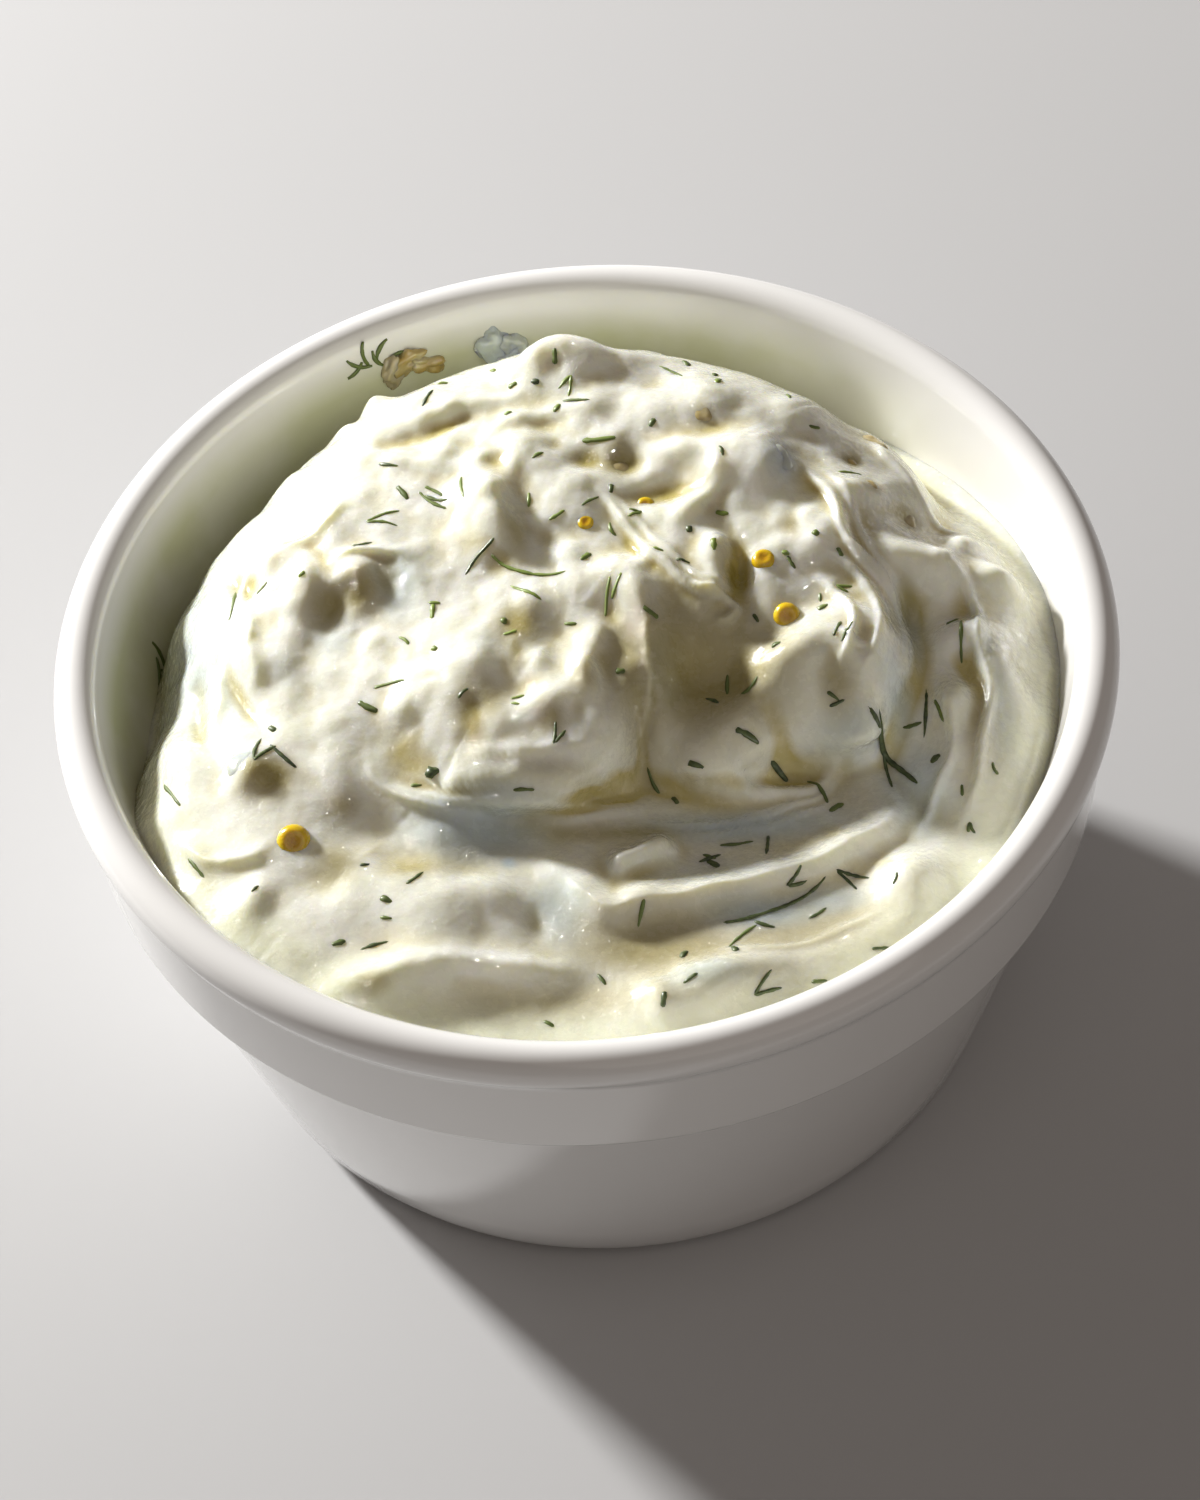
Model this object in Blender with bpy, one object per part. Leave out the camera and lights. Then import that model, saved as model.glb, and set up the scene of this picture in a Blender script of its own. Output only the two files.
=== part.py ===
"""A small white serving bowl heaped with creamy sauce, as two separate solids.

The bowl is a turned shape: a round bead at the rim, a wide raised band under it, a
tapering body and a foot ring. The sauce fills the bowl from its floor to an uneven heap:
a broad mound at the back, a lower shelf on the right, and ridges and a dollop in front.
Lengths in the constants are millimetres. The origin is the centre of the base, +Z is up,
and -Y is the low front of the heap.
"""
import math

import bmesh
import bpy

MM = 0.001
STEPS = 64                      # facets round the bowl and the sauce

# Bowl
OUTER_RADIUS = 48.0             # at the bead, the widest place
BOWL_HEIGHT = 46.0
BEAD_RADIUS = 2.05              # thickness of the rounded rim is twice this
BAND_TOP_RADIUS = 47.3
BAND_FOOT_RADIUS = 46.3
BAND_FOOT_HEIGHT = 32.0
BAND_EDGE = 0.8                 # rounding of the band's lower edge
BAND_STEP_FILLET = 0.7          # hollow corner between the band and the body
BODY_TOP_RADIUS = 44.2
FOOT_RADIUS = 35.5
FOOT_EDGE = 1.8                 # rounding where the body meets the base
BODY_SWELL = 0.25               # how far the body bulges past a straight cone
FOOT_RING_WIDTH = 4.0
FOOT_RECESS = 1.2
WALL_TILT = math.radians(14.5)  # lean of the inner wall
FLOOR_HEIGHT = 5.5
FLOOR_FILLET = 7.0

# Sauce
GAP = 0.3                       # clearance between the sauce and the bowl
PLAIN_LEVEL = 29.0              # level of the sauce before its top is shaped
RINGS = 30                      # rings of facets from the wall to the middle
EDGE_POWER = 4                  # how suddenly a lobe falls off at its edge
BLEND = 2.0                     # softness of the creases between lobes
CONTACT_SEARCH = (36.0, 44.0)   # radii between which the sauce meets the wall

# Height of the sauce where it meets the wall, every 45 degrees from +X towards +Y.
WALL_LEVELS = (39.0, 36.0, 34.5, 31.0, 33.0, 38.5, 41.5, 40.5)

# Rounded masses of the heap: centre, half-widths, turn in degrees, top and foot heights.
# The dome is the share of the fall that is spread over the top; the rest is at the edge.
LOBES = {
    "back mound": dict(at=(0.0, 13.5), half=(33.0, 24.0), turn=0, top=53.5, foot=36, dome=0.25),
    "left mound": dict(at=(-17.5, 7.5), half=(21.0, 21.5), turn=-10, top=50.0, foot=36, dome=0.3),
    "nose": dict(at=(-6.0, -1.0), half=(13.5, 16.5), turn=-12, top=50.0, foot=40, dome=0.4),
    "right mound": dict(at=(17.0, 11.0), half=(20.0, 21.0), turn=-22, top=50.0, foot=36, dome=0.3),
    "saddle": dict(at=(9.0, -2.0), half=(12.0, 12.5), turn=0, top=47.0, foot=40, dome=0.3),
    "knuckle": dict(at=(18.5, -2.5), half=(10.5, 11.5), turn=10, top=47.5, foot=40, dome=0.4),
    "right shelf": dict(at=(32.5, -1.0), half=(9.5, 21.0), turn=5, top=43.5, foot=37, dome=0.5),
    "front left slope": dict(at=(-25.0, -12.0), half=(15.0, 19.5), turn=-35, top=44.5, foot=37, dome=0.6),
    "left knob": dict(at=(-35.0, -8.0), half=(5.5, 7.0), turn=-10, top=43.0, foot=36, dome=0.6),
}

# Raised strokes left by the spoon: the points they pass through, height and the widths
# of their two sides, left and right of the stroke's direction.
STROKES = {
    "bent swirl": dict(path=((-6, -20), (-3, -24), (0, -27), (8, -26.5), (17, -24), (25.5, -20)),
                       height=1.8, widths=(3.0, 2.0)),
    "short crest": dict(path=((-18.5, -29), (-14, -27), (-10.5, -25)), height=1.6, widths=(2.5, 2.0)),
    "front crest": dict(path=((-24, -35.5), (-16, -32.5), (-9, -33), (-2.5, -35)),
                        height=2.0, widths=(3.0, 1.8)),
    "dollop": dict(path=((23, -29.5), (24.5, -27.5), (26, -26)), height=2.0, widths=(2.2, 2.2)),
    "side ridge": dict(path=((36, 7), (38, -3), (37, -13), (34, -21)), height=1.2, widths=(2.0, 2.0)),
}

PORCELAIN = (0.86, 0.85, 0.83)
SAUCE = (0.83, 0.81, 0.68)


# ---------------------------------------------------------------- general helpers

def clear_scene():
    for item in list(bpy.data.objects):
        bpy.data.objects.remove(item, do_unlink=True)


def material(name, colour, roughness):
    made = bpy.data.materials.new(name)
    made.use_nodes = True
    shader = made.node_tree.nodes["Principled BSDF"]
    shader.inputs["Base Color"].default_value = (*colour, 1.0)
    shader.inputs["Roughness"].default_value = roughness
    shader.inputs["Metallic"].default_value = 0.0
    return made


def arc(centre, radius, start, end, steps):
    """Points (radius, height) on an arc, angles in radians."""
    points = []
    for i in range(steps + 1):
        angle = start + (end - start) * i / steps
        points.append((centre[0] + radius * math.cos(angle), centre[1] + radius * math.sin(angle)))
    return points


def turn(profile):
    """Spin a profile of (radius, height) points in millimetres about Z into a closed bmesh."""
    bm = bmesh.new()
    line = [bm.verts.new((radius * MM, 0.0, height * MM)) for radius, height in profile]
    edges = [bm.edges.new(pair) for pair in zip(line, line[1:])]
    bmesh.ops.spin(bm, geom=line + edges, cent=(0, 0, 0), axis=(0, 0, 1),
                   angle=math.tau, steps=STEPS, use_merge=True)
    bmesh.ops.remove_doubles(bm, verts=bm.verts, dist=0.01 * MM)
    bmesh.ops.recalc_face_normals(bm, faces=bm.faces)
    return bm


def add_object(bm, name, made_of):
    mesh = bpy.data.meshes.new(name)
    bm.to_mesh(mesh)
    bm.free()
    mesh.materials.append(made_of)
    mesh.shade_smooth()
    mesh.set_sharp_from_angle(angle=math.radians(40))
    item = bpy.data.objects.new(name, mesh)
    bpy.context.collection.objects.link(item)
    return item


# ---------------------------------------------------------------- the bowl

def bead_centre():
    return OUTER_RADIUS - BEAD_RADIUS, BOWL_HEIGHT - BEAD_RADIUS


def cavity_radius(height):
    """Radius of the straight inner wall, which leaves the bead at a tangent."""
    centre_radius, centre_height = bead_centre()
    top_radius = centre_radius - BEAD_RADIUS * math.cos(WALL_TILT)
    top_height = centre_height + BEAD_RADIUS * math.sin(WALL_TILT)
    return top_radius - (top_height - height) * math.tan(WALL_TILT)


def cavity_foot(inset, steps):
    """The floor and its fillet, from the middle to the wall, moved inwards by inset."""
    centre_height = FLOOR_HEIGHT + FLOOR_FILLET
    centre_radius = cavity_radius(centre_height) - FLOOR_FILLET / math.cos(WALL_TILT)
    fillet = arc((centre_radius, centre_height), FLOOR_FILLET - inset, -math.pi / 2, -WALL_TILT, steps)
    return [(0.0, FLOOR_HEIGHT + inset)] + fillet


def bowl_profile():
    base = [(0.0, FOOT_RECESS),
            (FOOT_RADIUS - FOOT_EDGE - FOOT_RING_WIDTH - FOOT_RECESS, FOOT_RECESS),
            (FOOT_RADIUS - FOOT_EDGE - FOOT_RING_WIDTH, 0.0)]
    foot = arc((FOOT_RADIUS - FOOT_EDGE, FOOT_EDGE), FOOT_EDGE, -math.pi / 2, -math.radians(15), 3)

    body = []
    body_top = BAND_FOOT_HEIGHT - BAND_STEP_FILLET
    for t in (0.25, 0.5, 0.75, 1.0):
        radius = FOOT_RADIUS + (BODY_TOP_RADIUS - FOOT_RADIUS) * t + 4 * BODY_SWELL * t * (1 - t)
        body.append((radius, body_top * t))

    step = [(BODY_TOP_RADIUS + BAND_STEP_FILLET, BAND_FOOT_HEIGHT)]
    edge = arc((BAND_FOOT_RADIUS - BAND_EDGE, BAND_FOOT_HEIGHT + BAND_EDGE), BAND_EDGE,
               -math.pi / 2, 0.0, 3)
    centre_radius, centre_height = bead_centre()
    under_bead = -math.acos((BAND_TOP_RADIUS - centre_radius) / BEAD_RADIUS)
    bead = arc((centre_radius, centre_height), BEAD_RADIUS, under_bead, math.pi - WALL_TILT, 9)
    return base + foot + body + step + edge + bead + cavity_foot(0.0, 4)[::-1]


def make_bowl():
    add_object(turn(bowl_profile()), "bowl", material("porcelain", PORCELAIN, 0.12))


# ---------------------------------------------------------------- the sauce

def soft_max(a, b):
    """The larger of two heights, rounded off where they cross."""
    share = min(max(0.5 + 0.5 * (a - b) / BLEND, 0.0), 1.0)
    return b + (a - b) * share + BLEND * share * (1 - share)


def smooth(t):
    return t * t * (3 - 2 * t)


def wall_level(x, y):
    turns = math.degrees(math.atan2(y, x)) % 360 / 360 * len(WALL_LEVELS)
    first = int(turns) % len(WALL_LEVELS)
    share = smooth(turns - int(turns))
    return WALL_LEVELS[first] * (1 - share) + WALL_LEVELS[(first + 1) % len(WALL_LEVELS)] * share


def lobe_height(x, y, at, half, turn, top, foot, dome):
    angle = math.radians(turn)
    dx, dy = x - at[0], y - at[1]
    u = (dx * math.cos(angle) + dy * math.sin(angle)) / half[0]
    v = (dy * math.cos(angle) - dx * math.sin(angle)) / half[1]
    distance = math.hypot(u, v)
    return top - (top - foot) * (dome * distance ** 2 + (1 - dome) * distance ** EDGE_POWER)


def smooth_path(points, parts=6):
    """A Catmull-Rom curve through the points of a stroke."""
    first = tuple(2 * a - b for a, b in zip(points[0], points[1]))
    last = tuple(2 * a - b for a, b in zip(points[-1], points[-2]))
    posts = [first, *points, last]
    curve = []
    for i in range(1, len(posts) - 2):
        for step in range(parts):
            t = step / parts
            weights = (-t + 2 * t ** 2 - t ** 3, 2 - 5 * t ** 2 + 3 * t ** 3,
                       t + 4 * t ** 2 - 3 * t ** 3, t ** 3 - t ** 2)
            near = posts[i - 1:i + 3]
            curve.append(tuple(0.5 * sum(w * p[k] for w, p in zip(weights, near)) for k in (0, 1)))
    return curve + [points[-1]]


def stroke_height(x, y, path, height, widths):
    """Extra height of a stroke at a place: full on its line, nothing at its ends."""
    nearest, side, along = math.inf, 1.0, 0.0
    for i, (a, b) in enumerate(zip(path, path[1:])):
        ex, ey = b[0] - a[0], b[1] - a[1]
        px, py = x - a[0], y - a[1]
        t = min(max((px * ex + py * ey) / (ex * ex + ey * ey), 0.0), 1.0)
        distance = math.hypot(px - t * ex, py - t * ey)
        if distance < nearest:
            nearest, side, along = distance, ex * py - ey * px, (i + t) / (len(path) - 1)
    taper = smooth(min(1.0, min(along, 1 - along) / 0.18))
    width = widths[0] if side > 0 else widths[1]
    return height * taper * math.exp(-(nearest / width) ** 1.6)


def heap_height(x, y, strokes):
    height = wall_level(x, y)
    for lobe in LOBES.values():
        height = soft_max(height, lobe_height(x, y, **lobe))
    for stroke in strokes:
        height += stroke_height(x, y, **stroke)
    return height


def wall_contact(angle, strokes):
    """Where the heap meets the wall in one direction: its radius, just inside the bowl."""
    inner, outer = CONTACT_SEARCH
    for _ in range(12):
        radius = (inner + outer) / 2
        height = heap_height(radius * math.cos(angle), radius * math.sin(angle), strokes)
        if radius < cavity_radius(height) - GAP / math.cos(WALL_TILT):
            inner = radius
        else:
            outer = radius
    return inner


def sauce_profile():
    wall_top = cavity_radius(PLAIN_LEVEL) - GAP / math.cos(WALL_TILT)
    surface = [(wall_top * (RINGS - i) / RINGS, PLAIN_LEVEL) for i in range(RINGS + 1)]
    return cavity_foot(GAP, 4) + surface


def make_sauce():
    bm = turn(sauce_profile())
    strokes = [dict(stroke, path=smooth_path(stroke["path"])) for stroke in STROKES.values()]
    wall_top = cavity_radius(PLAIN_LEVEL) - GAP / math.cos(WALL_TILT)
    for vert in bm.verts:
        if vert.co.z < (PLAIN_LEVEL - GAP) * MM:
            continue
        angle = math.atan2(vert.co.y, vert.co.x)
        share = math.hypot(vert.co.x, vert.co.y) / MM / wall_top
        radius = share * wall_contact(angle, strokes)
        x, y = radius * math.cos(angle), radius * math.sin(angle)
        vert.co = (x * MM, y * MM, heap_height(x, y, strokes) * MM)
    add_object(bm, "sauce", material("sauce", SAUCE, 0.35))


clear_scene()
make_bowl()
make_sauce()
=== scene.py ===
import math
import random

import bmesh
import bpy
import numpy as np
from mathutils import Matrix, Quaternion, Vector, noise
from mathutils.bvhtree import BVHTree


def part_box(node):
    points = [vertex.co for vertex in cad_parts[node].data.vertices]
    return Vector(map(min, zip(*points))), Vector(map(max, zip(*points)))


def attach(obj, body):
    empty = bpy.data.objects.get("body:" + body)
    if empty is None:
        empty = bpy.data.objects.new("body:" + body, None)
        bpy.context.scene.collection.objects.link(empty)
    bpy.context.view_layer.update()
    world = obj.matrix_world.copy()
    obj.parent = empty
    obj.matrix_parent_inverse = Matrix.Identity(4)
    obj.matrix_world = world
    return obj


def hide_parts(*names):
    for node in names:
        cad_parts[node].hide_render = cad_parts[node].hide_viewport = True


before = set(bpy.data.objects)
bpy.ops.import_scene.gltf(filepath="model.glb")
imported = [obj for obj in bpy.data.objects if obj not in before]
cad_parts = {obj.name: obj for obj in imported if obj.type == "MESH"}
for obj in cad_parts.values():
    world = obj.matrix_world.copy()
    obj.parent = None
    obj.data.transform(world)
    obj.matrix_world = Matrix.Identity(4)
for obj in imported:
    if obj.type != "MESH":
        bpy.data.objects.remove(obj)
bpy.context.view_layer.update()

# A white porcelain bowl heaped with creamy herb sauce. Every length below is in
# millimetres, drawn for a rim radius of 48, and is brought to the frame's own size by MM.
_, BOWL_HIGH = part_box("bowl")
DRAWN_RIM = 48.0
MM = BOWL_HIGH[0] / DRAWN_RIM
SEED = 11

# ------------------------------------------------------------------ the bowl's sizes
BOWL_HEIGHT = BOWL_HIGH[2] / MM
BEAD_RADIUS = 2.05
BAND_TOP_RADIUS = 47.3
BAND_FOOT_RADIUS = 46.3
BAND_FOOT_HEIGHT = 32.0
BAND_EDGE = 0.9
BAND_FILLET = 0.8
BODY_TOP_RADIUS = 44.2
FOOT_RADIUS = 35.5
FOOT_EDGE = 1.8
BODY_SWELL = 0.25
FOOT_RING = 4.0
FOOT_RECESS = 1.2
WALL_TILT = math.radians(14.5)
FLOOR_HEIGHT = 5.5
FLOOR_FILLET = 7.0
BOWL_STEPS = 224
# The smear of sauce on the wall behind the heap; its olive stands partly for painted shade and bounced
# sauce colour.
SMEAR_BACK = 30.0               # how far back the smear on the wall is full
SMEAR_TOP = 43.8
SMEAR_FULL = 40.5

# ------------------------------------------------------------------ the heap's shape
GRID = 300                      # squares across the top of the sauce
WALL_BITE = 0.15                # how far the sauce reaches into the wall
EDGE_POWER = 7
BLEND = 2.2
SOFTENING = 6                   # passes that round the lumps off
LUMP_POWER = 2.1
LUMP_GAIN = 1.35
WELL_ABOVE = 80.0               # higher than any of the sauce
CURD_COUNT = 230
CURD_REACH = 41.0
HEAP_FOOT = 45.5                # below this height the chopped lumps barely show
# The sauce's height where it meets the wall, going round from the right by way of the back.
WALL_LEVELS = (39.0, 36.0, 34.5, 31.0, 33.0, 43.2, 41.0, 39.2)

LOBES = {
    "back mound": dict(at=(0.0, 13.5), half=(33.0, 24.5), turn=0, top=51.0, foot=36, dome=0.1,
                       lean=(0.0, 0.08)),
    "left mound": dict(at=(-18.0, 6.5), half=(20.5, 20.0), turn=-10, top=48.6, foot=37, dome=0.2,
                       lean=(0.08, 0.03)),
    "left skirt": dict(at=(-25.0, -7.0), half=(14.5, 22.0), turn=-25, top=46.8, foot=40, dome=0.5,
                       edge=5, lean=(0.03, 0.03)),
    "nose": dict(at=(-6.0, -2.2), half=(13.5, 15.2), turn=-10, top=48.2, foot=41.0, dome=0.06, edge=10,
                 lean=(0.07, -0.02)),
    "trough floor": dict(at=(-9.0, -22.0), half=(16.0, 11.0), turn=-10, top=41.5, foot=38.5, dome=0.4,
                         edge=5, lean=(-0.06, 0.0)),
    "right mound": dict(at=(16.0, 11.0), half=(19.5, 21.0), turn=-22, top=49.3, foot=36, dome=0.3),
    "saddle": dict(at=(10.0, -3.0), half=(11.5, 11.5), turn=0, top=44.6, foot=40, dome=0.2),
    "knuckle": dict(at=(20.5, -2.0), half=(9.5, 11.5), turn=10, top=47.3, foot=40, dome=0.4),
    "right shelf": dict(at=(32.5, -1.0), half=(9.5, 21.0), turn=5, top=43.5, foot=37, dome=0.5),
    "front left slope": dict(at=(-24.0, -14.0), half=(16.5, 21.5), turn=-35, top=44.8, foot=38.5,
                             dome=0.35, lean=(0.05, -0.08)),
    "left knob": dict(at=(-35.0, -8.0), half=(5.5, 7.0), turn=-10, top=43.0, foot=36, dome=0.6),
}

# Lumps of chopped pickle and thick cream: place, half width and half depth, turn, height.
LUMPS = {
    "peak knob": (0.2, 30.0, 2.7, 2.6, 0, 2.2),
    "peak knob, right": (3.2, 28.8, 1.9, 2.0, 0, 1.0),
    "peak knob, left": (-2.4, 28.2, 1.5, 1.7, 0, 0.9),
    "ridge behind the knob": (6.5, 29.0, 3.0, 2.0, -8, 1.0),
    "back left crumb": (-17.0, 30.5, 1.4, 1.6, 0, 1.6),
    "back left crumb, lower": (-20.5, 28.5, 1.6, 1.6, 0, 1.2),
    "left shoulder": (-26.0, 22.0, 2.4, 2.8, 20, 0.9),
    "left shoulder, lower": (-29.5, 18.5, 1.8, 2.6, 10, 0.7),
    "left trio, top": (-27.5, 11.0, 1.5, 1.8, 10, 0.8),
    "left trio, foot": (-28.5, 7.0, 1.4, 2.1, 20, 0.7),
    "left trio, inner": (-24.5, 7.5, 1.8, 2.1, -20, 0.5),
    "centre left": (-20.5, 8.0, 2.2, 2.0, 10, 0.9),
    "point": (-7.5, 12.5, 1.9, 3.4, 0, 1.7),
    "point, right side": (-5.5, 9.0, 1.4, 2.8, 0, 0.8),
    "crown": (-4.5, 18.0, 3.1, 2.9, 10, 0.9),
    "crown, right": (3.5, 18.5, 2.3, 2.1, 0, 0.7),
    "bright crown": (2.5, 22.5, 2.3, 1.8, 0, 0.6),
    "brow": (1.5, 13.0, 3.6, 3.2, 10, 0.6),
    "brow, right": (12.0, 22.0, 5.4, 3.2, 5, 0.9),
    "grey pickle": (17.5, 15.0, 3.4, 3.6, 0, 1.4),
    "white finger": (11.5, 16.5, 3.8, 1.4, -8, 1.0),
    "back right": (22.0, 22.0, 3.1, 2.6, -20, 0.9),
    "far right": (26.5, 11.5, 2.9, 3.2, -20, 1.1),
    "right white": (32.0, 4.4, 4.2, 3.2, -12, 3.0),
    "right white, back": (35.5, 8.4, 2.6, 1.9, -30, 1.4),
    "right white, outer": (38.6, 4.4, 2.2, 2.0, -15, 1.8),
    "right column": (33.8, -2.8, 2.1, 2.0, 25, 1.9),
    "right column, outer": (37.0, -5.5, 1.5, 3.0, -5, 1.0),
    "right column, foot": (32.4, -9.0, 1.6, 2.6, -12, 1.2),
    "glassy boulder": (23.5, 5.5, 3.1, 3.4, -15, 1.2),
    "bright knuckle": (18.5, -6.0, 4.0, 2.3, 35, 1.9),
    "onion fold": (25.0, -5.5, 3.0, 6.2, -10, 1.6),
    "mid face": (2.0, 3.0, 3.6, 3.7, 0, 0.7),
    "left cheek": (-14.0, -6.5, 6.3, 5.3, 10, 0.8),
    "left cheek, inner": (-9.5, -4.0, 3.1, 3.2, 15, 0.7),
    "crumb a": (-4.5, -5.0, 1.3, 1.4, 0, 0.9),
    "crumb b": (0.0, -6.5, 1.1, 1.4, 0, 0.8),
    "crumb c": (-4.5, -9.0, 1.8, 1.8, 0, 0.6),
    "left bulge": (-28.0, 0.5, 4.0, 5.3, 0, 0.8),
    "left bulge, edge": (-35.5, 2.0, 1.6, 4.7, 0, 0.7),
    "left knob top": (-36.5, -8.5, 2.9, 4.5, 0, 0.9),
    "lump by the seed": (-30.5, -12.0, 1.8, 2.2, -30, 1.0),
    "second lip": (12.0, -12.5, 4.0, 2.9, 10, 0.9),
    "shaded lump": (13.5, -9.5, 3.2, 2.6, 0, 0.6),
    "front right": (8.0, -37.0, 5.4, 2.6, 12, 1.6),
    "dollop": (26.2, -26.2, 2.5, 3.2, -38, 1.7),
    "short crest, top": (-14.5, -28.6, 6.5, 4.4, 20, 1.15),
    "front right crest": (3.0, -38.0, 1.4, 2.6, 30, 0.7),
    "front left swell": (-25.5, -31.5, 5.5, 2.4, -20, 0.5),
    "small swell": (-31.2, -25.0, 1.5, 2.8, -20, 0.8),
}
HOLLOWS = {
    "left flank, upper": (-30.5, 10.5, 1.2, 4.2, 28, 0.8),
    "left flank, lower": (-35.0, -4.0, 1.0, 3.6, 12, 1.2),
    "left flank, foot": (-37.0, 6.5, 1.0, 3.0, 15, 1.0),
    "dark green": (5.0, 16.0, 1.9, 1.8, -20, 0.55),
    "beside the grey pickle": (8.5, 12.5, 4.5, 1.3, 0, 0.7),
    "seed": (14.5, 3.0, 1.4, 3.0, 0, 1.3),
    "crown a": (-6.0, 17.5, 1.2, 1.3, 0, 0.5),
    "crown b": (-0.5, 18.5, 1.2, 1.5, 0, 0.4),
    "crown c": (2.0, 17.0, 1.3, 1.6, 0, 0.4),
    "right a": (26.0, 16.5, 1.3, 1.5, 0, 0.5),
    "right b": (27.5, 12.5, 1.3, 1.6, 0, 0.4),
    "right c": (30.5, 10.5, 1.6, 1.9, 0, 0.5),
    "right edge": (28.5, 21.5, 1.8, 1.3, -25, 0.8),
    "left seam": (-31.0, -2.5, 0.9, 3.9, 20, 0.8),
    "left notch": (-35.0, 0.5, 0.9, 2.4, 10, 1.1),
    "front left": (-25.2, -23.6, 2.4, 2.2, 0, 0.5),
    "trough, left": (-19.5, -18.6, 5.0, 3.0, -15, 0.9),
    "wedge": (-17.5, -21.5, 3.4, 1.6, 15, 0.4),
    "ridge notch": (-7.0, -28.5, 1.3, 1.8, 0, 0.4),
    "under the onion": (27.5, -12.0, 2.2, 3.9, 0, 0.3),
    "right shade": (18.0, -13.5, 4.5, 2.1, 10, 0.6),
    "right": (29.4, 0.6, 1.1, 2.4, 0, 0.6),
    "shelf": (33.5, -5.0, 1.3, 5.3, 0, 0.8),
    "smear": (-12.0, 23.0, 4.5, 1.1, 12, 0.6),
}

# Spoon strokes and folds: the line they follow, height, and width to its left and right.
STROKES = {
    "comb fold, back": (((-15, 24), (-11, 25), (-5, 25.5), (0, 26)), 0.45, (0.9, 0.6)),
    "comb fold, middle": (((-9, 19.5), (-4.5, 22), (0, 23), (4, 23)), 0.5, (1.0, 0.6)),
    "comb fold, front": (((-20, 22), (-15, 19.5), (-11, 17.5), (-8.5, 19)), 0.5, (1.0, 0.6)),
    "lip": (((-19.5, -9.2), (-18.5, -11.8), (-16, -14.6), (-12.5, -16.0), (-7.5, -16.8), (-3, -17.2),
             (2.5, -16.8), (5.5, -14.2)), 0.7, (1.5, 0.6)),
    "cheek fold": (((-13.5, -12.5), (-12, -9), (-10, -5), (-9.5, -2)), 0.4, (3.4, 1.5)),
    "left lump fold": (((-22, 2.5), (-19.5, 4.5), (-19, 7), (-20, 9)), 0.6, (3.4, 1.4)),
    "brow fold": (((-7.5, -4.5), (-5.5, -1.5), (-5, 1.5), (-6, 4)), 0.5, (3.0, 1.4)),
    "point fold": (((-8.5, 5.5), (-6.8, 9), (-6.4, 12), (-7.5, 14.5)), 0.7, (2.6, 1.4)),
    "crown fold": (((-4, 14.5), (-1.5, 16.5), (0, 19), (-1, 21.5)), 0.6, (2.8, 1.3)),
    "face fold": (((0.0, -10.5), (-0.5, -7), (1.5, -3.5), (1.0, 0)), 0.9, (2.6, 0.9)),
    "left bulge fold": (((-31, -5), (-29.5, -1), (-30, 3), (-32, 7)), 0.9, (2.6, 1.0)),
    "left shoulder fold": (((-25.5, 3), (-24, 6), (-24.5, 10), (-27, 13.5)), 0.9, (2.4, 0.8)),
    "right brow fold": (((8.5, 8.5), (12, 10.5), (14, 13.5), (13.5, 17)), 0.9, (2.6, 0.8)),
    "seed shelf": (((10.5, -1.5), (13.2, 1.5), (13.6, 5), (12.2, 8)), 1.2, (2.0, 0.6)),
    "nose ridge": (((3.0, 6.5), (5.0, 2.0), (5.6, -3.0), (5.8, -9.0), (4.6, -14.0)), 1.9, (2.6, 1.6)),
    "second lip": (((6, -13), (9, -14.5), (13.5, -15.5), (18, -15), (22.5, -13), (26, -10)), 1.0,
                   (1.3, 0.5)),
    "bent swirl": (((-7, -17), (-4.5, -22.5), (-0.5, -27.5), (2.5, -27.5), (8, -26.5), (16, -24.5),
                    (22.5, -21.5), (26, -18), (26, -13.5), (24.5, -11.5)), 1.7, (2.2, 1.4)),
    "inner swirl": (((-0.5, -24), (3, -22.5), (7, -20.5)), 2.0, (1.5, 1.1)),
    "short crest": (((-20, -29.5), (-16, -27.3), (-12, -25.2), (-9.5, -25.8), (-8.0, -28.2)), 0.65,
                    (1.8, 2.8)),
    "front crest": (((-27, -35.6), (-21, -34.2), (-16.5, -33.2), (-11, -33.2), (-6.5, -33.6),
                     (-1, -33.9)), 1.6, (1.8, 2.0)),
    "pale band": (((2, -35), (10.5, -35), (18.5, -34), (25, -31), (31, -25.5)), 1.1, (2.6, 2.6)),
    "left swell fold": (((-39, -15), (-35, -20), (-31, -20.5), (-29, -18)), 0.5, (1.0, 0.6)),
}
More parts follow.
